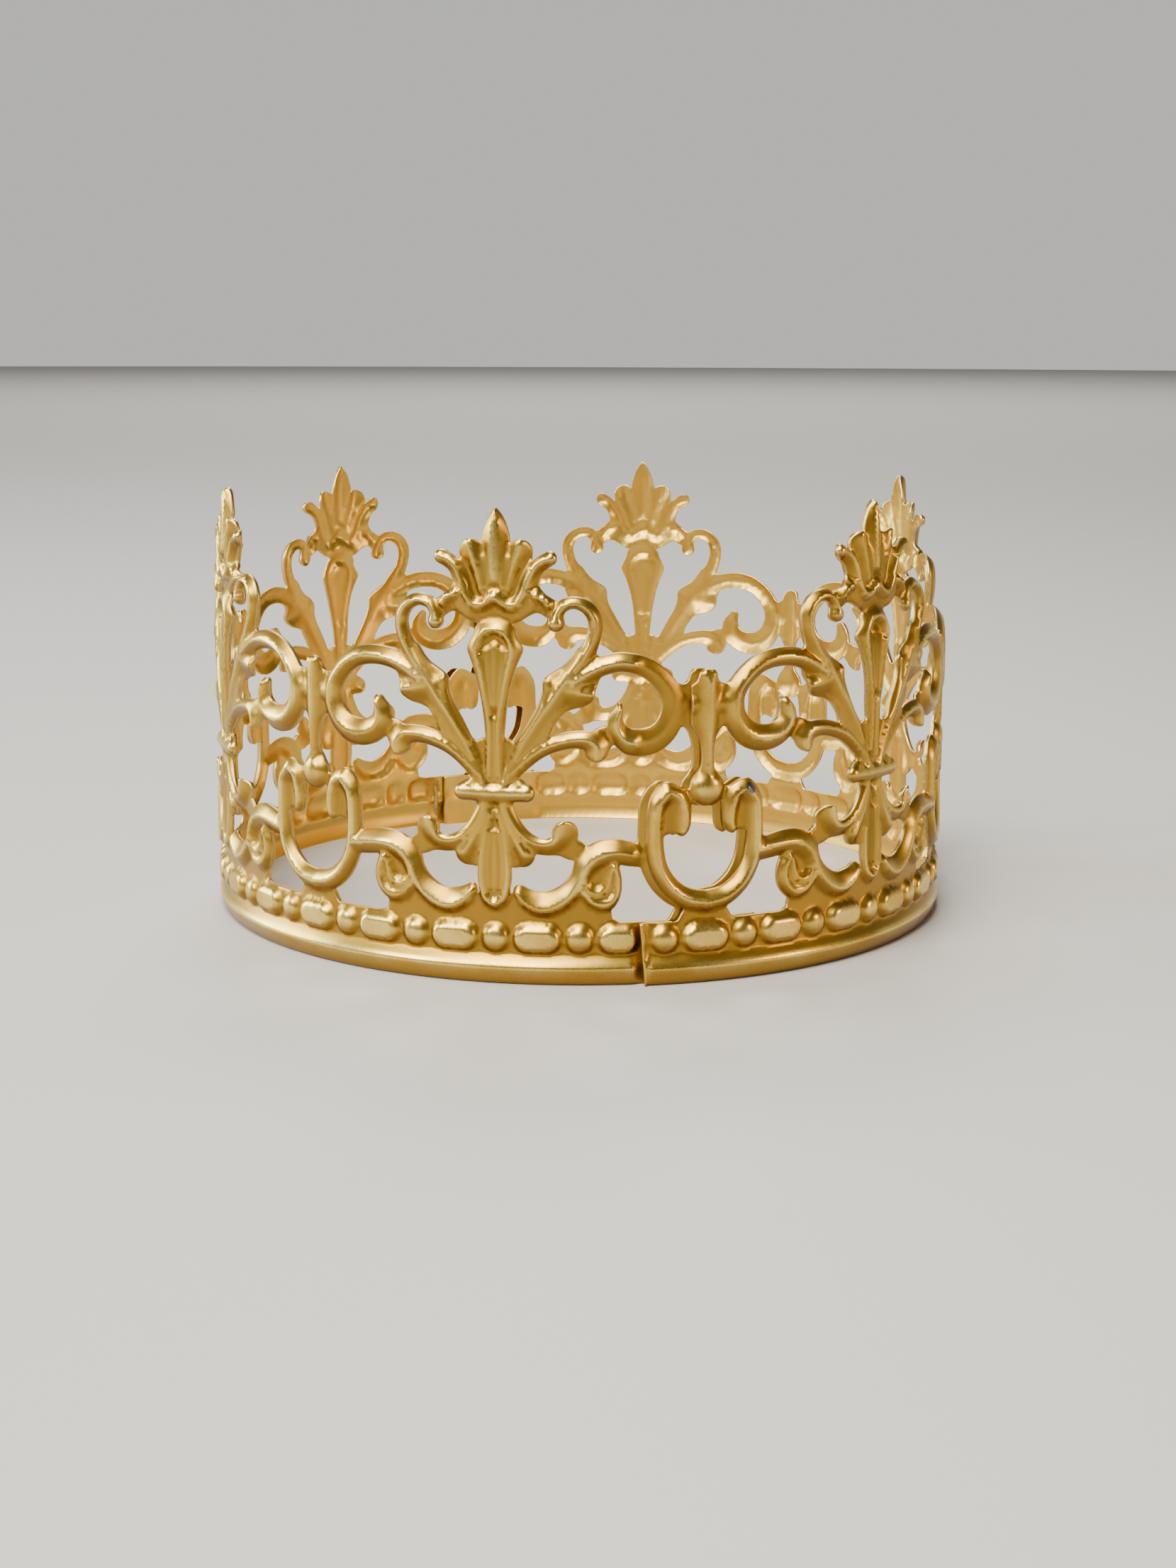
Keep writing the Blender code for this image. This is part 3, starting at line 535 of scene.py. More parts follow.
RING_RIDGES = [
    Ridge(from_ring(RING), 1.15, 0.4),
    Ridge(from_ring(ARM_FOLD), 1.1, 0.25),
    Ridge(from_ring(LINK_RIDGE), 0.95, 0.4),
    Ridge(from_ring(LINK_WEB), 0.55, 0.8),
] + [Ball(HALF - s, z, radius, rise) for s, z, radius, rise in RING_BALLS]
FLEURON_STROKES = [LOOP, BIG_SCROLL, LOWER_BRANCH, BRANCH_SPUR, PETAL_MIDDLE, PETAL_SECOND,
                   PETAL_OUTER, COLLAR, SIDE_SCROLL, WAVE, CURL, COLLAR_CURL]
FLEURON_SHAPES = [both_sides(shape) for shape in (TORCH, CUP, STEM, BRANCH_BRIDGE, FANG, BUD,
                                                  SIDE_BRIDGE, CURL_WEB, GROUND)]
RING_STROKES = [from_ring(RING), from_ring(BALL)]
END_LINK = [(min(s, WEB_CUT), z) for s, z in LINK]
RING_SHAPES = [from_ring(both_sides(shape)) for shape in (ARM, LINK, FOOT)]
END_SHAPES = [from_ring(both_sides(shape)) for shape in (ARM, END_LINK, FOOT)]

RIM_PROFILE = [(0.0, -0.1), (0.45, 0.35), (2.6, 1.0), (3.0, 1.1), (3.4, 0.95), (5.0, -0.15),
               (5.35, -0.35), (10.2, -0.35), (10.8, -0.5)]


def relief(points, ridges):
    """How far the sheet stands out at each point of the half period."""
    rise = np.max([ridge.height(points) for ridge in ridges], axis=0)
    rise = rise * (MAX_RISE + SINK) / MAX_RISE - SINK
    heights, rises = zip(*RIM_PROFILE)
    rise = np.where(points[:, 1] < BAND_TOP, np.interp(points[:, 1], heights, rises), rise)
    for centre, straight in bead_list():
        across = np.maximum(np.abs(points[:, 0] - centre) - straight, 0.0)
        gap = np.hypot(across, points[:, 1] - BEAD_Z) / BEAD_RADIUS
        dome = np.sqrt(np.maximum(1 - gap ** 2, 0.0))
        if straight:
            dome = np.minimum(LONG_BEAD_FLAT * dome, 1.0)
        rise = np.maximum(rise, (BEAD_RISE + BEAD_SINK) * dome - BEAD_SINK)
    return rise


def pressed_relief(points, ridges):
    """The relief averaged over a small circle, as pressing leaves no knife edges."""
    total = 2 * relief(points, ridges)
    for turn in np.radians(np.arange(0, 360, 60)):
        total += relief(points + PRESS_RADIUS * np.array((math.cos(turn), math.sin(turn))), ridges)
    return total / 8


def valley_points(ridges, low):
    """Points where the highest ridge changes from one to the next."""
    columns = np.arange(low, HALF + VALLEY_STEP, VALLEY_STEP)
    rows = np.arange(BAND_TOP, TIP_HEIGHT, VALLEY_STEP)
    grid = np.stack(np.meshgrid(columns, rows, indexing="ij"), axis=-1)
    heights = np.array([ridge.height(grid.reshape(-1, 2)) for ridge in ridges])
    heights = heights.reshape(len(ridges), len(columns), len(rows))
    highest = heights.argmax(axis=0)
    found = []
    for shift in ((1, 0), (0, 1)):
        near = tuple(slice(0, -n or None) for n in shift)
        far = tuple(slice(n, None) for n in shift)
        for i, j in zip(*np.where(highest[near] != highest[far])):
            k, m = i + shift[0], j + shift[1]
            here, there = highest[i, j], highest[k, m]
            before = heights[here, i, j] - heights[there, i, j]
            after = heights[there, k, m] - heights[here, k, m]
            share = before / max(before + after, TINY)
            level = heights[here, i, j] + share * (heights[here, k, m] - heights[here, i, j])
            if level > LOWEST_VALLEY:
                found.append(grid[i, j] + share * (grid[k, m] - grid[i, j]))
    return np.array(found)


def feature_points(ridges, low):
    """Points that the mesh should pass through: crests, valleys, feet, beads, the rim's lines."""
    crests = []
    feet = []
    for ridge in ridges:
        crest, foot = ridge.lines()
        highest = np.max([other.height(crest) for other in ridges], axis=0)
        crests.append(crest[ridge.height(crest) > highest - LOWEST_VALLEY])
        highest = np.max([other.height(foot) for other in ridges], axis=0)
        feet.append(foot[highest < LOWEST_VALLEY])
    beads = []
    for centre, straight in bead_list():
        for share in (1.0, 0.85, 0.6):
            radius = BEAD_RADIUS * share
            count = round(2 * math.pi * radius / FEATURE_STEP)
            for turn in np.arange(count) / count * 2 * math.pi:
                shift = math.copysign(straight, math.cos(turn)) if straight else 0.0
                beads.append((centre + shift + radius * math.cos(turn),
                              BEAD_Z + radius * math.sin(turn)))
    rim = [(s, z) for z, _ in RIM_PROFILE[1:-1] for s in np.arange(0.0, HALF, OUTLINE_STEP)]
    crests = np.concatenate(crests)
    feet = np.concatenate(feet)
    return np.concatenate([crests[crests[:, 1] > BAND_TOP], valley_points(ridges, low),
                           feet[feet[:, 1] > BAND_TOP], beads, rim])


def half_sheet(strokes, shapes, ridges, low):
    """Flat triangles from s = low to HALF: points, their relief, edge distance and faces."""
    columns = np.linspace(low, HALF, round((HALF - low) / FIELD_STEP) + 1)
    rows = np.arange(-FIELD_BELOW * FIELD_STEP, TIP_HEIGHT + FIELD_ABOVE, FIELD_STEP)
    grid = np.stack(np.meshgrid(columns, rows, indexing="ij"), axis=-1).reshape(-1, 2)
    field = sheet_field(grid, strokes, shapes).reshape(len(columns), len(rows))
    outline = [even_chain(chain, OUTLINE_STEP) for chain in crossing_chains(field, columns, rows)
               if len(chain) > SHORTEST_CHAIN]
    ends = end_chains(field, 0, rows, low) + end_chains(field, -1, rows, HALF)
    points = []
    edges = []
    for chain in outline + ends:
        edges += [(len(points) + i, len(points) + i + 1) for i in range(len(chain) - 1)]
        points += [tuple(p) for p in chain]
    starts = np.array([points[a] for a, _ in edges])
    stops = np.array([points[b] for _, b in edges])
    outline_edges = sum(len(chain) - 1 for chain in outline)

    sieve = Sieve(FILL_CLOSEST)
    for point in points:
        sieve.add(point)
    inset = []
    for chain in outline:
        ahead = np.gradient(chain, axis=0)
        ahead /= np.maximum(np.linalg.norm(ahead, axis=1), TINY)[:, None]
        normal = np.stack([-ahead[:, 1], ahead[:, 0]], axis=1)
        for way in (1, -1):
            inset.append(chain + way * EDGE_INSET * normal)
    inset = np.concatenate(inset)
    features = feature_points(ridges, low)
    row_step = FILL_STEP * math.sqrt(3) / 2
    fill = [(s + (FILL_STEP / 2 if k % 2 else 0.0), z)
            for k, z in enumerate(np.arange(FIRST_FILL_ROW, TIP_HEIGHT, row_step))
            for s in np.arange(low, HALF, FILL_STEP)]
    fill = np.array(fill)

    def usable(candidates, margin):
        """The candidates in the metal, at least margin from its outline and its ends."""
        away = (candidates[:, 0] > low + margin) & (candidates[:, 0] < HALF - margin)
        candidates = candidates[away]
        candidates = candidates[inside(candidates, starts, stops)]
        gap = edge_distance(candidates, starts[:outline_edges], stops[:outline_edges])
        return candidates[gap > margin]

    for group, margin, closest in ((inset, EDGE_INSET * 0.9, 0.0),
                                   (features, FEATURE_CLOSEST, FEATURE_CLOSEST),
                                   (fill, FILL_CLOSEST, FILL_CLOSEST)):
        for point in usable(group, margin):
            sieve.add(point, closest)
    points = sieve.kept

    flat, _, tris, _, _, _ = delaunay_2d_cdt([Vector(p) for p in points], edges, [], 0, CLOSE,
                                             False)
    flat = np.array([tuple(v) for v in flat])
    for end in (low, HALF):
        flat[np.abs(flat[:, 0] - end) < END_SNAP, 0] = end
    tris = np.array(tris)
    corners = flat[tris]
    first, second = corners[:, 1] - corners[:, 0], corners[:, 2] - corners[:, 0]
    areas = (first[:, 0] * second[:, 1] - first[:, 1] * second[:, 0]) / 2
    tris[areas < 0] = tris[areas < 0][:, ::-1]
    keep = inside(corners.mean(axis=1), starts, stops) & (np.abs(areas) > SMALLEST_AREA)
    gap = edge_distance(flat, starts[:outline_edges], stops[:outline_edges])
    rounding = 1 - np.minimum(gap / EDGE_ROUND, 1.0)
    rise = pressed_relief(flat, ridges)
    rise -= EDGE_DROP * (1 - np.sqrt(1 - rounding ** 2))
    return flat, rise, gap, tris[keep]


def lap_settle(s, z, rise):
    """Fit a strip's two ends to the laps: the inner end slips aside and lies flatter."""
    inner_axis = STRIP_FLEURONS * PERIOD - HALF
    slip = ease((s - inner_axis + SLIP_START) / SLIP_RUN)
    flat = ease((s - inner_axis + FLAT_START) / FLAT_RUN)
    rise = rise * (1 - FLATTEN * flat) - TUCK * flat
    outer_end = -HALF - LAP_HALF
    from_cut = np.clip((s - outer_end) / LIP_WIDTH, 0.0, 1.0)
    on_band = (z < BAND_TOP + FIELD_STEP) & (from_cut < 1.0)
    lip = np.where(on_band, (1 - from_cut) ** 2, 0.0)
    rise = np.where(on_band, rise * from_cut, rise) + LIP_RISE * lip
    slant = np.where(on_band, (1 - from_cut) * LIP_SLANT * (1 - 2 * z / BAND_TOP), 0.0)
    return s - SLIP * slip + slant, rise


def ease(t):
    """0 below 0, 1 above 1, and smooth between."""
    t = np.clip(t, 0.0, 1.0)
    return t * t * (3 - 2 * t)


def soften(values, tris, passes, share):
    """Average each point's value with its neighbours'."""
    pairs = np.concatenate([tris[:, (0, 1)], tris[:, (1, 2)], tris[:, (2, 0)]])
    pairs = np.concatenate([pairs, pairs[:, ::-1]])
    count = np.bincount(pairs[:, 0], minlength=len(values))
    for _ in range(passes):
        total = np.bincount(pairs[:, 0], weights=values[pairs[:, 1]], minlength=len(values))
        values = (1 - share) * values + share * total / np.maximum(count, 1)
    return values


def flat_strip():
    """The whole strip, flat: points, relief, edge distance and triangles."""
    full = half_sheet(FLEURON_STROKES + RING_STROKES, FLEURON_SHAPES + RING_SHAPES,
                      FLEURON_RIDGES + RING_RIDGES, 0.0)
    end = half_sheet(RING_STROKES, END_SHAPES, RING_RIDGES, HALF - LAP_HALF)
    parts = [(end, -PERIOD, 1.0)]
    for k in range(STRIP_FLEURONS):
        parts += [(full, k * PERIOD, -1.0), (full, k * PERIOD, 1.0)]
    parts.append((end, STRIP_FLEURONS * PERIOD, -1.0))
    points, rises, gaps, faces = [], [], [], []
    first = 0
    for (flat, rise, gap, tris), shift, sign in parts:
        points.append(np.stack([sign * flat[:, 0] + shift, flat[:, 1]], axis=1))
        rises.append(rise)
        gaps.append(gap)
        faces.append((tris if sign > 0 else tris[:, ::-1]) + first)
        first += len(flat)
    points, rises, gaps, faces = map(np.concatenate, (points, rises, gaps, faces))
    _, kept, merged = np.unique(np.round(points, 3), axis=0, return_index=True,
                                return_inverse=True)
    faces = merged.reshape(-1)[faces]
    used = np.unique(faces)
    renumber = np.zeros(len(kept), dtype=int)
    renumber[used] = np.arange(len(used))
    kept = kept[used]
    return points[kept], rises[kept], gaps[kept], renumber[faces]


def wall_radius(s, z):
    """Outer radius of the flat ground: a slow spiral, leaning in above LEAN_START."""
    drift = (SHEET + GAP) * (s + HALF + LAP_HALF) / (STRIP_FLEURONS * PERIOD)
    above = np.maximum(z - LEAN_START, 0.0) / (TIP_HEIGHT - LEAN_START)
    return WALL_RADIUS - drift - LEAN * above ** 2


def roll(s, z, outwards, start_angle):
    """Places on the crown of flat points, in metres."""
    angle = math.radians(start_angle) + s / DRAWN_RADIUS
    radius = (wall_radius(s, z) + outwards) * MM
    return np.stack([radius * np.sin(angle), -radius * np.cos(angle), z * MM], axis=1)


def open_edges(faces, count):
    """Directed edges that only one triangle uses."""
    edges = np.concatenate([faces[:, (0, 1)], faces[:, (1, 2)], faces[:, (2, 0)]])
    codes = edges[:, 0] * count + edges[:, 1]
    twins = edges[:, 1] * count + edges[:, 0]
    return edges[~np.isin(codes, twins)]


def make_strip(name, flat, start_angle, finish):
    """One strip: front, back and edges of the pressed sheet, rolled to its half of the wall."""
    points, rise, gap, faces = flat
    s, front = lap_settle(points[:, 0], points[:, 1], rise)
    back = np.minimum(soften(front, faces, BACK_PASSES, BACK_SHARE), front + BACK_PLAY) - SHEET
    verts = np.concatenate([roll(s, points[:, 1], front, start_angle),
                            roll(s, points[:, 1], back, start_angle)])
    count = len(points)
    rim = open_edges(faces, count)
    walls = np.stack([rim[:, 1], rim[:, 0], rim[:, 0] + count, rim[:, 1] + count], axis=1)
    mesh = bpy.data.meshes.new(name)
    mesh.from_pydata(verts.tolist(), [], faces.tolist() + (faces[:, ::-1] + count).tolist()
                     + walls.tolist())
    mesh.validate()
    mesh.shade_smooth()
    crest = mesh.attributes.new("relief", "FLOAT", "POINT")
    crest.data.foreach_set("value", np.concatenate([front, -back - SHEET]).astype(np.float32))
    edge = mesh.attributes.new("edge", "FLOAT", "POINT")
    edge.data.foreach_set("value", np.concatenate([gap, gap]).astype(np.float32))
    inner = mesh.attributes.new("inner", "FLOAT", "POINT")
    inner.data.foreach_set("value", np.repeat([0.0, 1.0], count).astype(np.float32))
    mesh.materials.append(finish)
    made = bpy.data.objects.new(name, mesh)
    bpy.context.scene.collection.objects.link(made)
    return made


RIPPLE_SCALE = 2.2         # of the solder's surface, for a lump of radius 1
RIPPLE = 0.1               # deepest ripple, as a share of the lump


def make_solder(name, node, finish, seed):
    """A lump of solder where the part's lump is, with the ripples and pits of a cooled one."""
    low, high = (Vector(corner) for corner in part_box(node))
    bm = bmesh.new()
    bmesh.ops.create_icosphere(bm, subdivisions=5, radius=1.0)
    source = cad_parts[node].data
    centre = sum((v.co for v in source.vertices), Vector()) / len(source.vertices)
    outwards = Vector((centre.x, centre.y, 0.0)).normalized()
    along = Vector((-outwards.y, outwards.x, 0.0))
    reach = [max(abs((v.co - centre) @ way) for v in source.vertices)
             for way in (along, outwards, Vector((0.0, 0.0, 1.0)))]
    offset = Vector((seed, 0.0, 0.0))
    for vertex in bm.verts:
        ripple = noise.fractal(vertex.co * RIPPLE_SCALE + offset, 1.0, 2.0, 4)
        shape = vertex.co * (1 - RIPPLE + RIPPLE * max(-1.0, min(1.0, ripple)))
        vertex.co = (centre + along * shape.x * reach[0] + outwards * shape.y * reach[1]
                     + Vector((0.0, 0.0, shape.z * reach[2])))
    mesh = bpy.data.meshes.new(name)
    bm.to_mesh(mesh)
    bm.free()
    mesh.shade_smooth()
    mesh.materials.append(finish)
    made = bpy.data.objects.new(name, mesh)
    bpy.context.scene.collection.objects.link(made)
    return made


class Nodes:
    """A node tree, with short ways to add a node and link it."""

    def __init__(self, tree):
        self.tree = tree

    def link(self, value, socket):
        if isinstance(value, bpy.types.NodeSocket):
            self.tree.links.new(value, socket)
        else:
            socket.default_value = value

    def add(self, kind, **settings):
        node = self.tree.nodes.new(kind)
        for name, value in settings.items():
            setattr(node, name, value)
        return node

    def noise(self, scale, detail=3.0, roughness=0.5):
        node = self.add("ShaderNodeTexNoise")
        place = self.add("ShaderNodeTexCoord")
        self.link(place.outputs["Object"], node.inputs["Vector"])
        self.link(scale, node.inputs["Scale"])
        self.link(detail, node.inputs["Detail"])
        self.link(roughness, node.inputs["Roughness"])
        return node.outputs["Fac"]

    def upward(self):
        """How far the surface faces up, from -1 to 1."""
        return self.part(self.add("ShaderNodeNewGeometry").outputs["Normal"], "Z")

    def part(self, vector, axis):
        """One coordinate of a vector."""
        axes = self.add("ShaderNodeSeparateXYZ")
        self.link(vector, axes.inputs["Vector"])
        return axes.outputs[axis]

    def near(self, place, inner, outer):
        """1 within the inner distance of a place, fading to 0 at the outer distance."""
        where = self.add("ShaderNodeTexCoord").outputs["Object"]
        gap = self.add("ShaderNodeVectorMath", operation="DISTANCE")
        self.link(where, gap.inputs[0])
        self.link(place, gap.inputs[1])
        return self.span(gap.outputs["Value"], outer, inner)

    def attribute(self, name):
        return self.add("ShaderNodeAttribute", attribute_name=name).outputs["Fac"]

    def span(self, value, low, high, to_low=0.0, to_high=1.0):
        """Map low..high to to_low..to_high, smoothly and within those ends."""
        node = self.add("ShaderNodeMapRange", interpolation_type="SMOOTHSTEP")
        for name, amount in (("Value", value), ("From Min", low), ("From Max", high),
                             ("To Min", to_low), ("To Max", to_high)):
            self.link(amount, node.inputs[name])
        return node.outputs["Result"]

    def maths(self, operation, first, second):
        node = self.add("ShaderNodeMath", operation=operation)
        self.link(first, node.inputs[0])
        self.link(second, node.inputs[1])
        return node.outputs["Value"]

    def blend(self, share, first, second):
        """Mix of two colours."""
        node = self.add("ShaderNodeMix", data_type="RGBA")
        self.link(share, node.inputs["Factor"])
        self.link(first, node.inputs["A"])
        self.link(second, node.inputs["B"])
        return node.outputs["Result"]

    def bump(self, height, strength, distance, under=None):
        node = self.add("ShaderNodeBump")
        self.link(height, node.inputs["Height"])
        self.link(strength, node.inputs["Strength"])
        self.link(distance, node.inputs["Distance"])
        if under is not None:
            self.link(under, node.inputs["Normal"])
        return node.outputs["Normal"]


class Finish(Nodes):
    """A material and its node tree."""

    def __init__(self, name):
        self.material = bpy.data.materials.new(name)
        self.material.use_nodes = True
        super().__init__(self.material.node_tree)
        self.shader = self.tree.nodes["Principled BSDF"]


# Colours are linear, as Blender's nodes take them.
# GOLD_CREST: pale crests, partly worn and partly a painted highlight.
GOLD_CREST = (0.94, 0.69, 0.19, 1.0)
GOLD_BODY = (0.72, 0.45, 0.07, 1.0)
# Painted shade for the hollows.
GOLD_HOLLOW_SHADE = (0.43, 0.24, 0.03, 1.0)
# Painted shade for surfaces that face down.
GOLD_UNDERSIDE_SHADE = (0.19, 0.095, 0.015, 1.0)
# Painted light for the inner side.
GOLD_INNER_LIT = (0.95, 0.63, 0.12, 1.0)
# Pale cut edges: partly worn, partly a painted highlight.
GOLD_EDGE_WEAR_AND_HIGHLIGHT = (0.97, 0.80, 0.37, 1.0)
BARE_METAL = (0.16, 0.17, 0.20, 1.0)
SOLDER_BODY = (0.62, 0.44, 0.18, 1.0)
SOLDER_DULL = (0.40, 0.27, 0.10, 1.0)
FLOOR_COLOR = (0.50, 0.49, 0.47, 1.0)
MOTTLE = 0.97              # brightness of the floor's darkest patches
CLOUD_SCALE = 90.0         # per metre: soft patches about 10 mm across
GRAIN_SCALE = 3400.0       # the plating's fine grain
SOLDER_SCALE = 700.0
MOTTLE_SCALE = 6.0
DENT_SCALE = 420.0         # shallow unevenness of the pressing
CHIP_S = 7.8               # in millimetres, from the ring's axis
CHIP_Z = 33.4
CHIP_RISE = 1.0
CHIP_CORE = 0.7            # bare out to here
CHIP_FADE = 1.5            # and no further than here
UNDERSIDE_SHADE_SHARE = 0.85         # how much painted shade darkens the gold where the surface faces down
INNER_LIGHT_SHARE = 0.6          # the inner side is painted brighter, a painted light that also covers much of the painted shade there
RELIEF_RANGE = (-0.4, 1.0)       # relief where the painted shade in the hollows is deepest and where the gold is palest, in millimetres
UNDERSIDE_SHADE_RANGE = (0.15, -0.4)       # how far up the surface faces where the painted shade starts and is full
EDGE_WEAR_AND_HIGHLIGHT_WIDTH = 0.22              # of the pale line along cut edges, partly wear and partly a painted highlight, in millimetres
GRAIN_ROUGHNESS = (0.29, 0.34)    # from the grain's low places to its high ones
CREST_ROUGHNESS = (0.06, -0.03)  # added in the hollows and on the crests
DENT_BUMP = (0.15, 0.00015)      # strength, and depth in metres
GRAIN_BUMP = (0.05, 0.00001)


def chip_place():
    """Where the plating is chipped: on top of the right arm of the ring in the front lap."""
    angle = math.radians(FRONT_FLEURON + STEP / 2) + CHIP_S / DRAWN_RADIUS
    radius = (WALL_RADIUS + CHIP_RISE) * MM
    return (radius * math.sin(angle), -radius * math.cos(angle), CHIP_Z * MM)


def antique_gold():
    """Satin gold plating; painted shade darkens the hollows and undersides, painted light brightens
    the inner side, and pale crests and cut edges are partly worn and partly a painted highlight.
    """
    gold = Finish("antique_gold")
    crest = gold.span(gold.attribute("relief"), *RELIEF_RANGE)
    cloud = gold.noise(CLOUD_SCALE, 4.0)
    grain = gold.noise(GRAIN_SCALE, 4.0, 0.65)
    # Painted shade: the gold is darker brown in the hollows, set by the relief.
    colour = gold.blend(crest, GOLD_HOLLOW_SHADE, GOLD_BODY)
    # Crests are paler in patches: partly worn high points, partly a painted highlight.
    crest_wear_and_highlight = gold.maths("MULTIPLY", gold.span(crest, 0.75, 1.0), gold.span(cloud, 0.35, 0.65))
    colour = gold.blend(crest_wear_and_highlight, colour, GOLD_CREST)
    # Painted shade: the gold turns dark brown where the surface faces down.
    under = gold.maths("MULTIPLY", gold.span(gold.upward(), *UNDERSIDE_SHADE_RANGE), UNDERSIDE_SHADE_SHARE)
    colour = gold.blend(under, colour, GOLD_UNDERSIDE_SHADE)
    # Painted light: the inner side is painted brighter gold.
    inner = gold.maths("MULTIPLY", gold.attribute("inner"), INNER_LIGHT_SHARE)
    colour = gold.blend(inner, colour, GOLD_INNER_LIT)
    # A pale line along the cut edges: partly worn edges, partly a painted highlight.
    edge = gold.span(gold.attribute("edge"), EDGE_WEAR_AND_HIGHLIGHT_WIDTH, 0.0)
    edge = gold.maths("MULTIPLY", edge, gold.span(grain, 0.3, 0.6, 0.1, 0.4))
    colour = gold.blend(edge, colour, GOLD_EDGE_WEAR_AND_HIGHLIGHT)
    spot = gold.near(chip_place(), CHIP_CORE * MM, CHIP_FADE * MM)
    chipped = gold.span(gold.maths("ADD", spot, gold.maths("MULTIPLY", grain, 0.5)), 0.65, 0.85)
    colour = gold.blend(chipped, colour, BARE_METAL)
    gold.link(colour, gold.shader.inputs["Base Color"])
    gold.link(1.0, gold.shader.inputs["Metallic"])
    rough = gold.maths("ADD", gold.span(grain, 0.3, 0.7, *GRAIN_ROUGHNESS),
                       gold.span(crest, 0.0, 1.0, *CREST_ROUGHNESS))
    gold.link(rough, gold.shader.inputs["Roughness"])
    dents = gold.bump(gold.noise(DENT_SCALE, 2.0), *DENT_BUMP)
    gold.link(gold.bump(grain, *GRAIN_BUMP, dents), gold.shader.inputs["Normal"])
    return gold.material


def plated_solder():
    """Soft solder under thin plating, dull in its pits."""
    solder = Finish("plated_solder")
    cloud = solder.noise(SOLDER_SCALE, 4.0, 0.6)
    solder.link(solder.blend(solder.span(cloud, 0.35, 0.6), SOLDER_DULL, SOLDER_BODY),
                solder.shader.inputs["Base Color"])
    solder.link(1.0, solder.shader.inputs["Metallic"])
    solder.link(solder.span(cloud, 0.3, 0.7, 0.45, 0.25), solder.shader.inputs["Roughness"])
    solder.link(solder.bump(cloud, 0.4, 0.0001), solder.shader.inputs["Normal"])
    return solder.material


def pale_floor():
    """A matt pale floor with a very faint mottle."""
    floor = Finish("pale_floor")
    mottle = floor.noise(MOTTLE_SCALE, 5.0)
    darker = tuple(MOTTLE * c for c in FLOOR_COLOR[:3]) + (1.0,)
    floor.link(floor.blend(mottle, darker, FLOOR_COLOR), floor.shader.inputs["Base Color"])
    floor.link(0.55, floor.shader.inputs["Roughness"])
    return floor.material


FLOOR_RADIUS = 6.0


def make_floor():
    """A round floor under the crown, as wide as a room."""
    bm = bmesh.new()
    bmesh.ops.create_circle(bm, cap_ends=True, segments=96, radius=FLOOR_RADIUS)
    mesh = bpy.data.meshes.new("floor")
    bm.to_mesh(mesh)
    bm.free()
    mesh.materials.append(pale_floor())
    made = bpy.data.objects.new("floor", mesh)
    made.location.z = CAD_BOX[0][2]
    bpy.context.scene.collection.objects.link(made)
    return made


CAMERA_PLACE = (0.0, -0.445, 0.109)
CAMERA_PITCH = 0.1949      # radians down
CAMERA_YAW = 0.0039        # radians to the right
CAMERA_ROLL = 0.0036
CAMERA_LENS = 53.2         # millimetres
CAMERA_SENSOR = 36.0       # along the picture's long side


def make_camera():
    data = bpy.data.cameras.new("camera")
    data.lens = CAMERA_LENS
    data.sensor_width = CAMERA_SENSOR
    data.clip_start = 0.01
    made = bpy.data.objects.new("camera", data)
    made.matrix_world = (Matrix.Translation(CAMERA_PLACE)
                         @ Matrix.Rotation(-CAMERA_YAW, 4, "Z")
                         @ Matrix.Rotation(math.pi / 2 - CAMERA_PITCH, 4, "X")
                         @ Matrix.Rotation(CAMERA_ROLL, 4, "Z"))
    bpy.context.scene.collection.objects.link(made)
    bpy.context.scene.camera = made


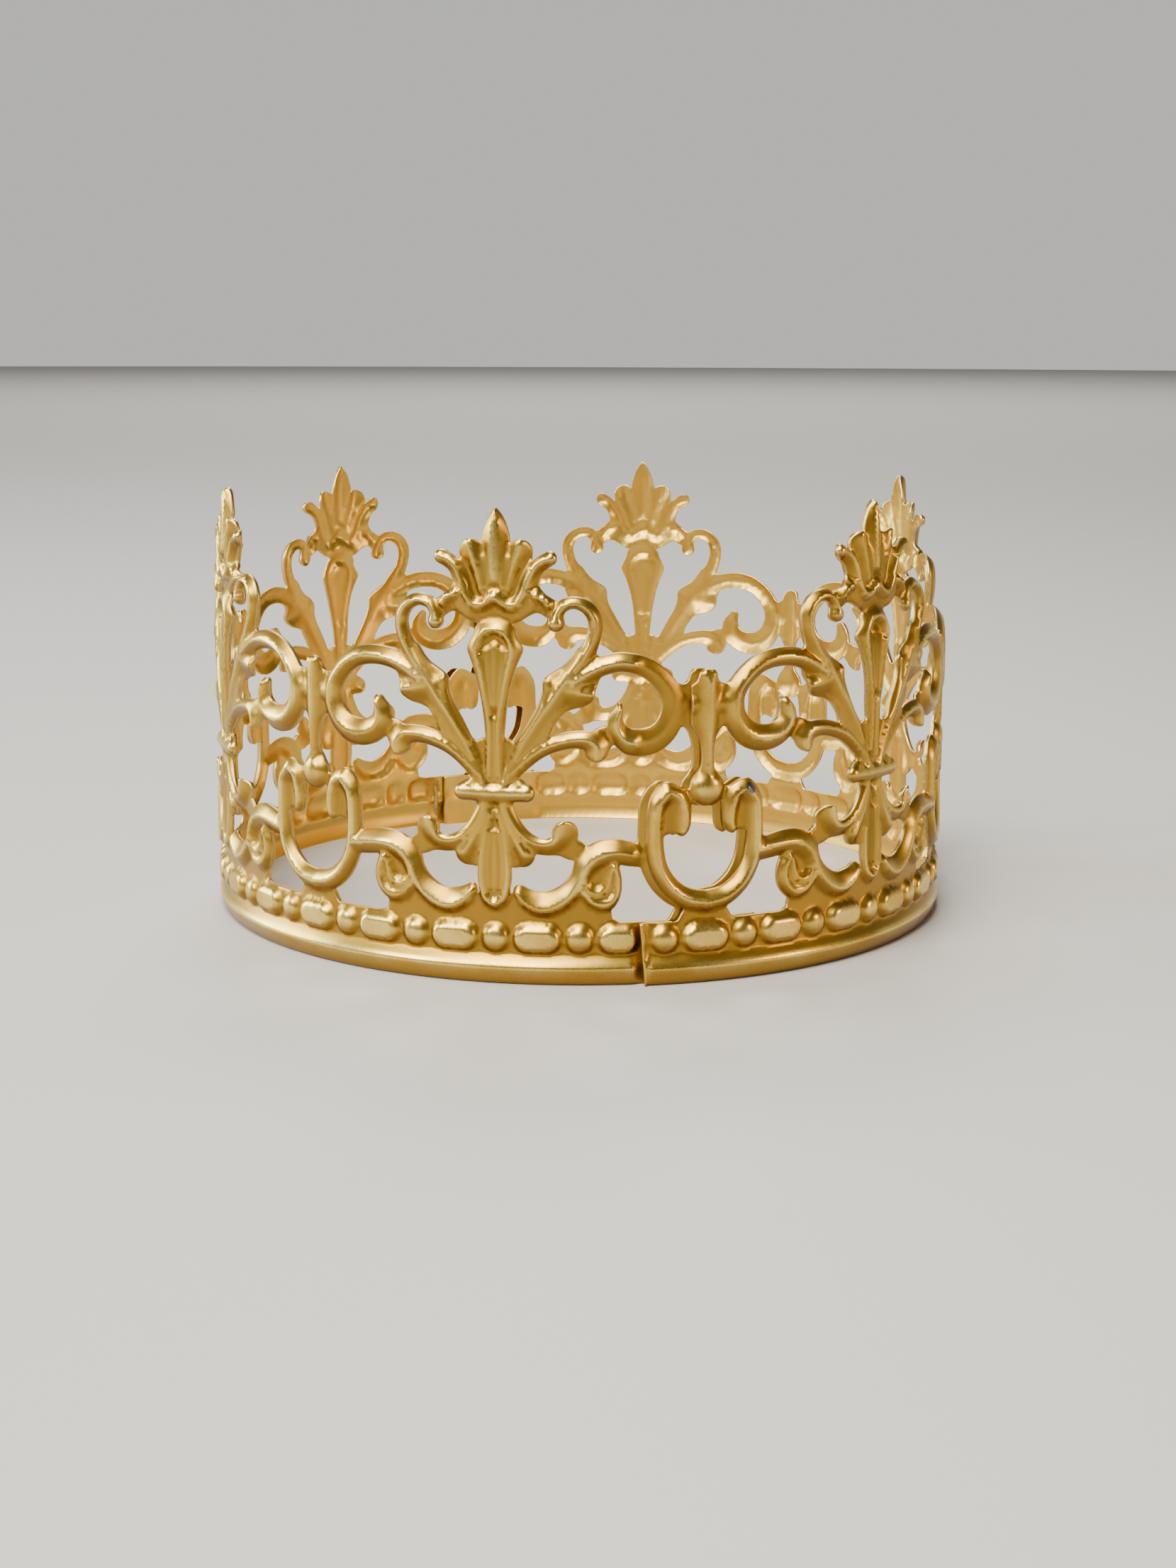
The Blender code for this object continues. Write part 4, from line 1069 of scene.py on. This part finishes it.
# Soft boxes: name, place, the point it faces, size, power, colour.
CROWN = (0.0, 0.0, 0.03)
LIGHTS = [("window", (-1.3, 0.35, 0.45), CROWN, 0.7, 20.0, (0.76, 0.88, 1.0)),
          ("left", (-1.0, -0.7, 0.7), CROWN, 0.35, 9.0, (0.92, 0.95, 1.0)),
          ("overhead", (-0.15, -0.35, 1.25), CROWN, 0.35, 13.0, (1.0, 0.96, 0.86)),
          ("front", (-0.4, -0.85, 1.1), CROWN, 0.8, 26.0, (1.0, 0.94, 0.80)),
          ("right", (1.1, -0.5, 0.35), CROWN, 0.3, 4.0, (1.0, 0.72, 0.42)),
          ("back", (0.0, 3.0, 2.6), (0.0, 2.6, 0.0), 1.6, 110.0, (1.0, 0.97, 0.93))]
BACKDROP = (0.60, 0.59, 0.57, 1.0)
ROOM = (0.085, 0.08, 0.075, 1.0)
BACKDROP_TOP = 0.12        # height in the sky, as a sine, where the backdrop starts to fade
ROOM_START = 0.42          # and where only the darker room is left
BACKDROP_FRONT = -0.25     # the same, from the front of the crown to the back
BACKDROP_BACK = 0.35


def make_lights():
    for name, place, aim, size, power, color in LIGHTS:
        data = bpy.data.lights.new(name, "AREA")
        data.shape = "SQUARE"
        data.size = size
        data.energy = power
        data.color = color
        made = bpy.data.objects.new(name, data)
        made.location = place
        made.rotation_euler = (Vector(aim) - Vector(place)).to_track_quat("-Z", "Y").to_euler()
        bpy.context.scene.collection.objects.link(made)


def make_world():
    """A plain studio: a pale backdrop behind the crown, and a darker room round it."""
    world = bpy.data.worlds.new("studio")
    world.use_nodes = True
    nodes = Nodes(world.node_tree)
    direction = nodes.add("ShaderNodeTexCoord").outputs["Generated"]
    low = nodes.span(nodes.part(direction, "Z"), ROOM_START, BACKDROP_TOP)
    behind = nodes.span(nodes.part(direction, "Y"), BACKDROP_FRONT, BACKDROP_BACK)
    color = nodes.blend(nodes.maths("MULTIPLY", low, behind), ROOM, BACKDROP)
    nodes.link(color, world.node_tree.nodes["Background"].inputs["Color"])
    bpy.context.scene.world = world


def own(piece, node):
    """Hang a piece on the root body, and hide the part that it takes the place of."""
    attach(piece, "root")
    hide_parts(node)


gold = antique_gold()
solder = plated_solder()
flat = flat_strip()
for name, first_fleuron in (("front_right_strip", FRONT_FLEURON + STEP),
                            ("front_left_strip", FRONT_FLEURON + STEP * (1 + STRIP_FLEURONS))):
    own(make_strip("pressed_" + name, flat, first_fleuron, gold), name)
for number, node in enumerate(sorted(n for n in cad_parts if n.startswith("solder"))):
    own(make_solder("cooled_" + node, node, solder, number), node)
make_floor()
make_camera()
make_lights()
make_world()
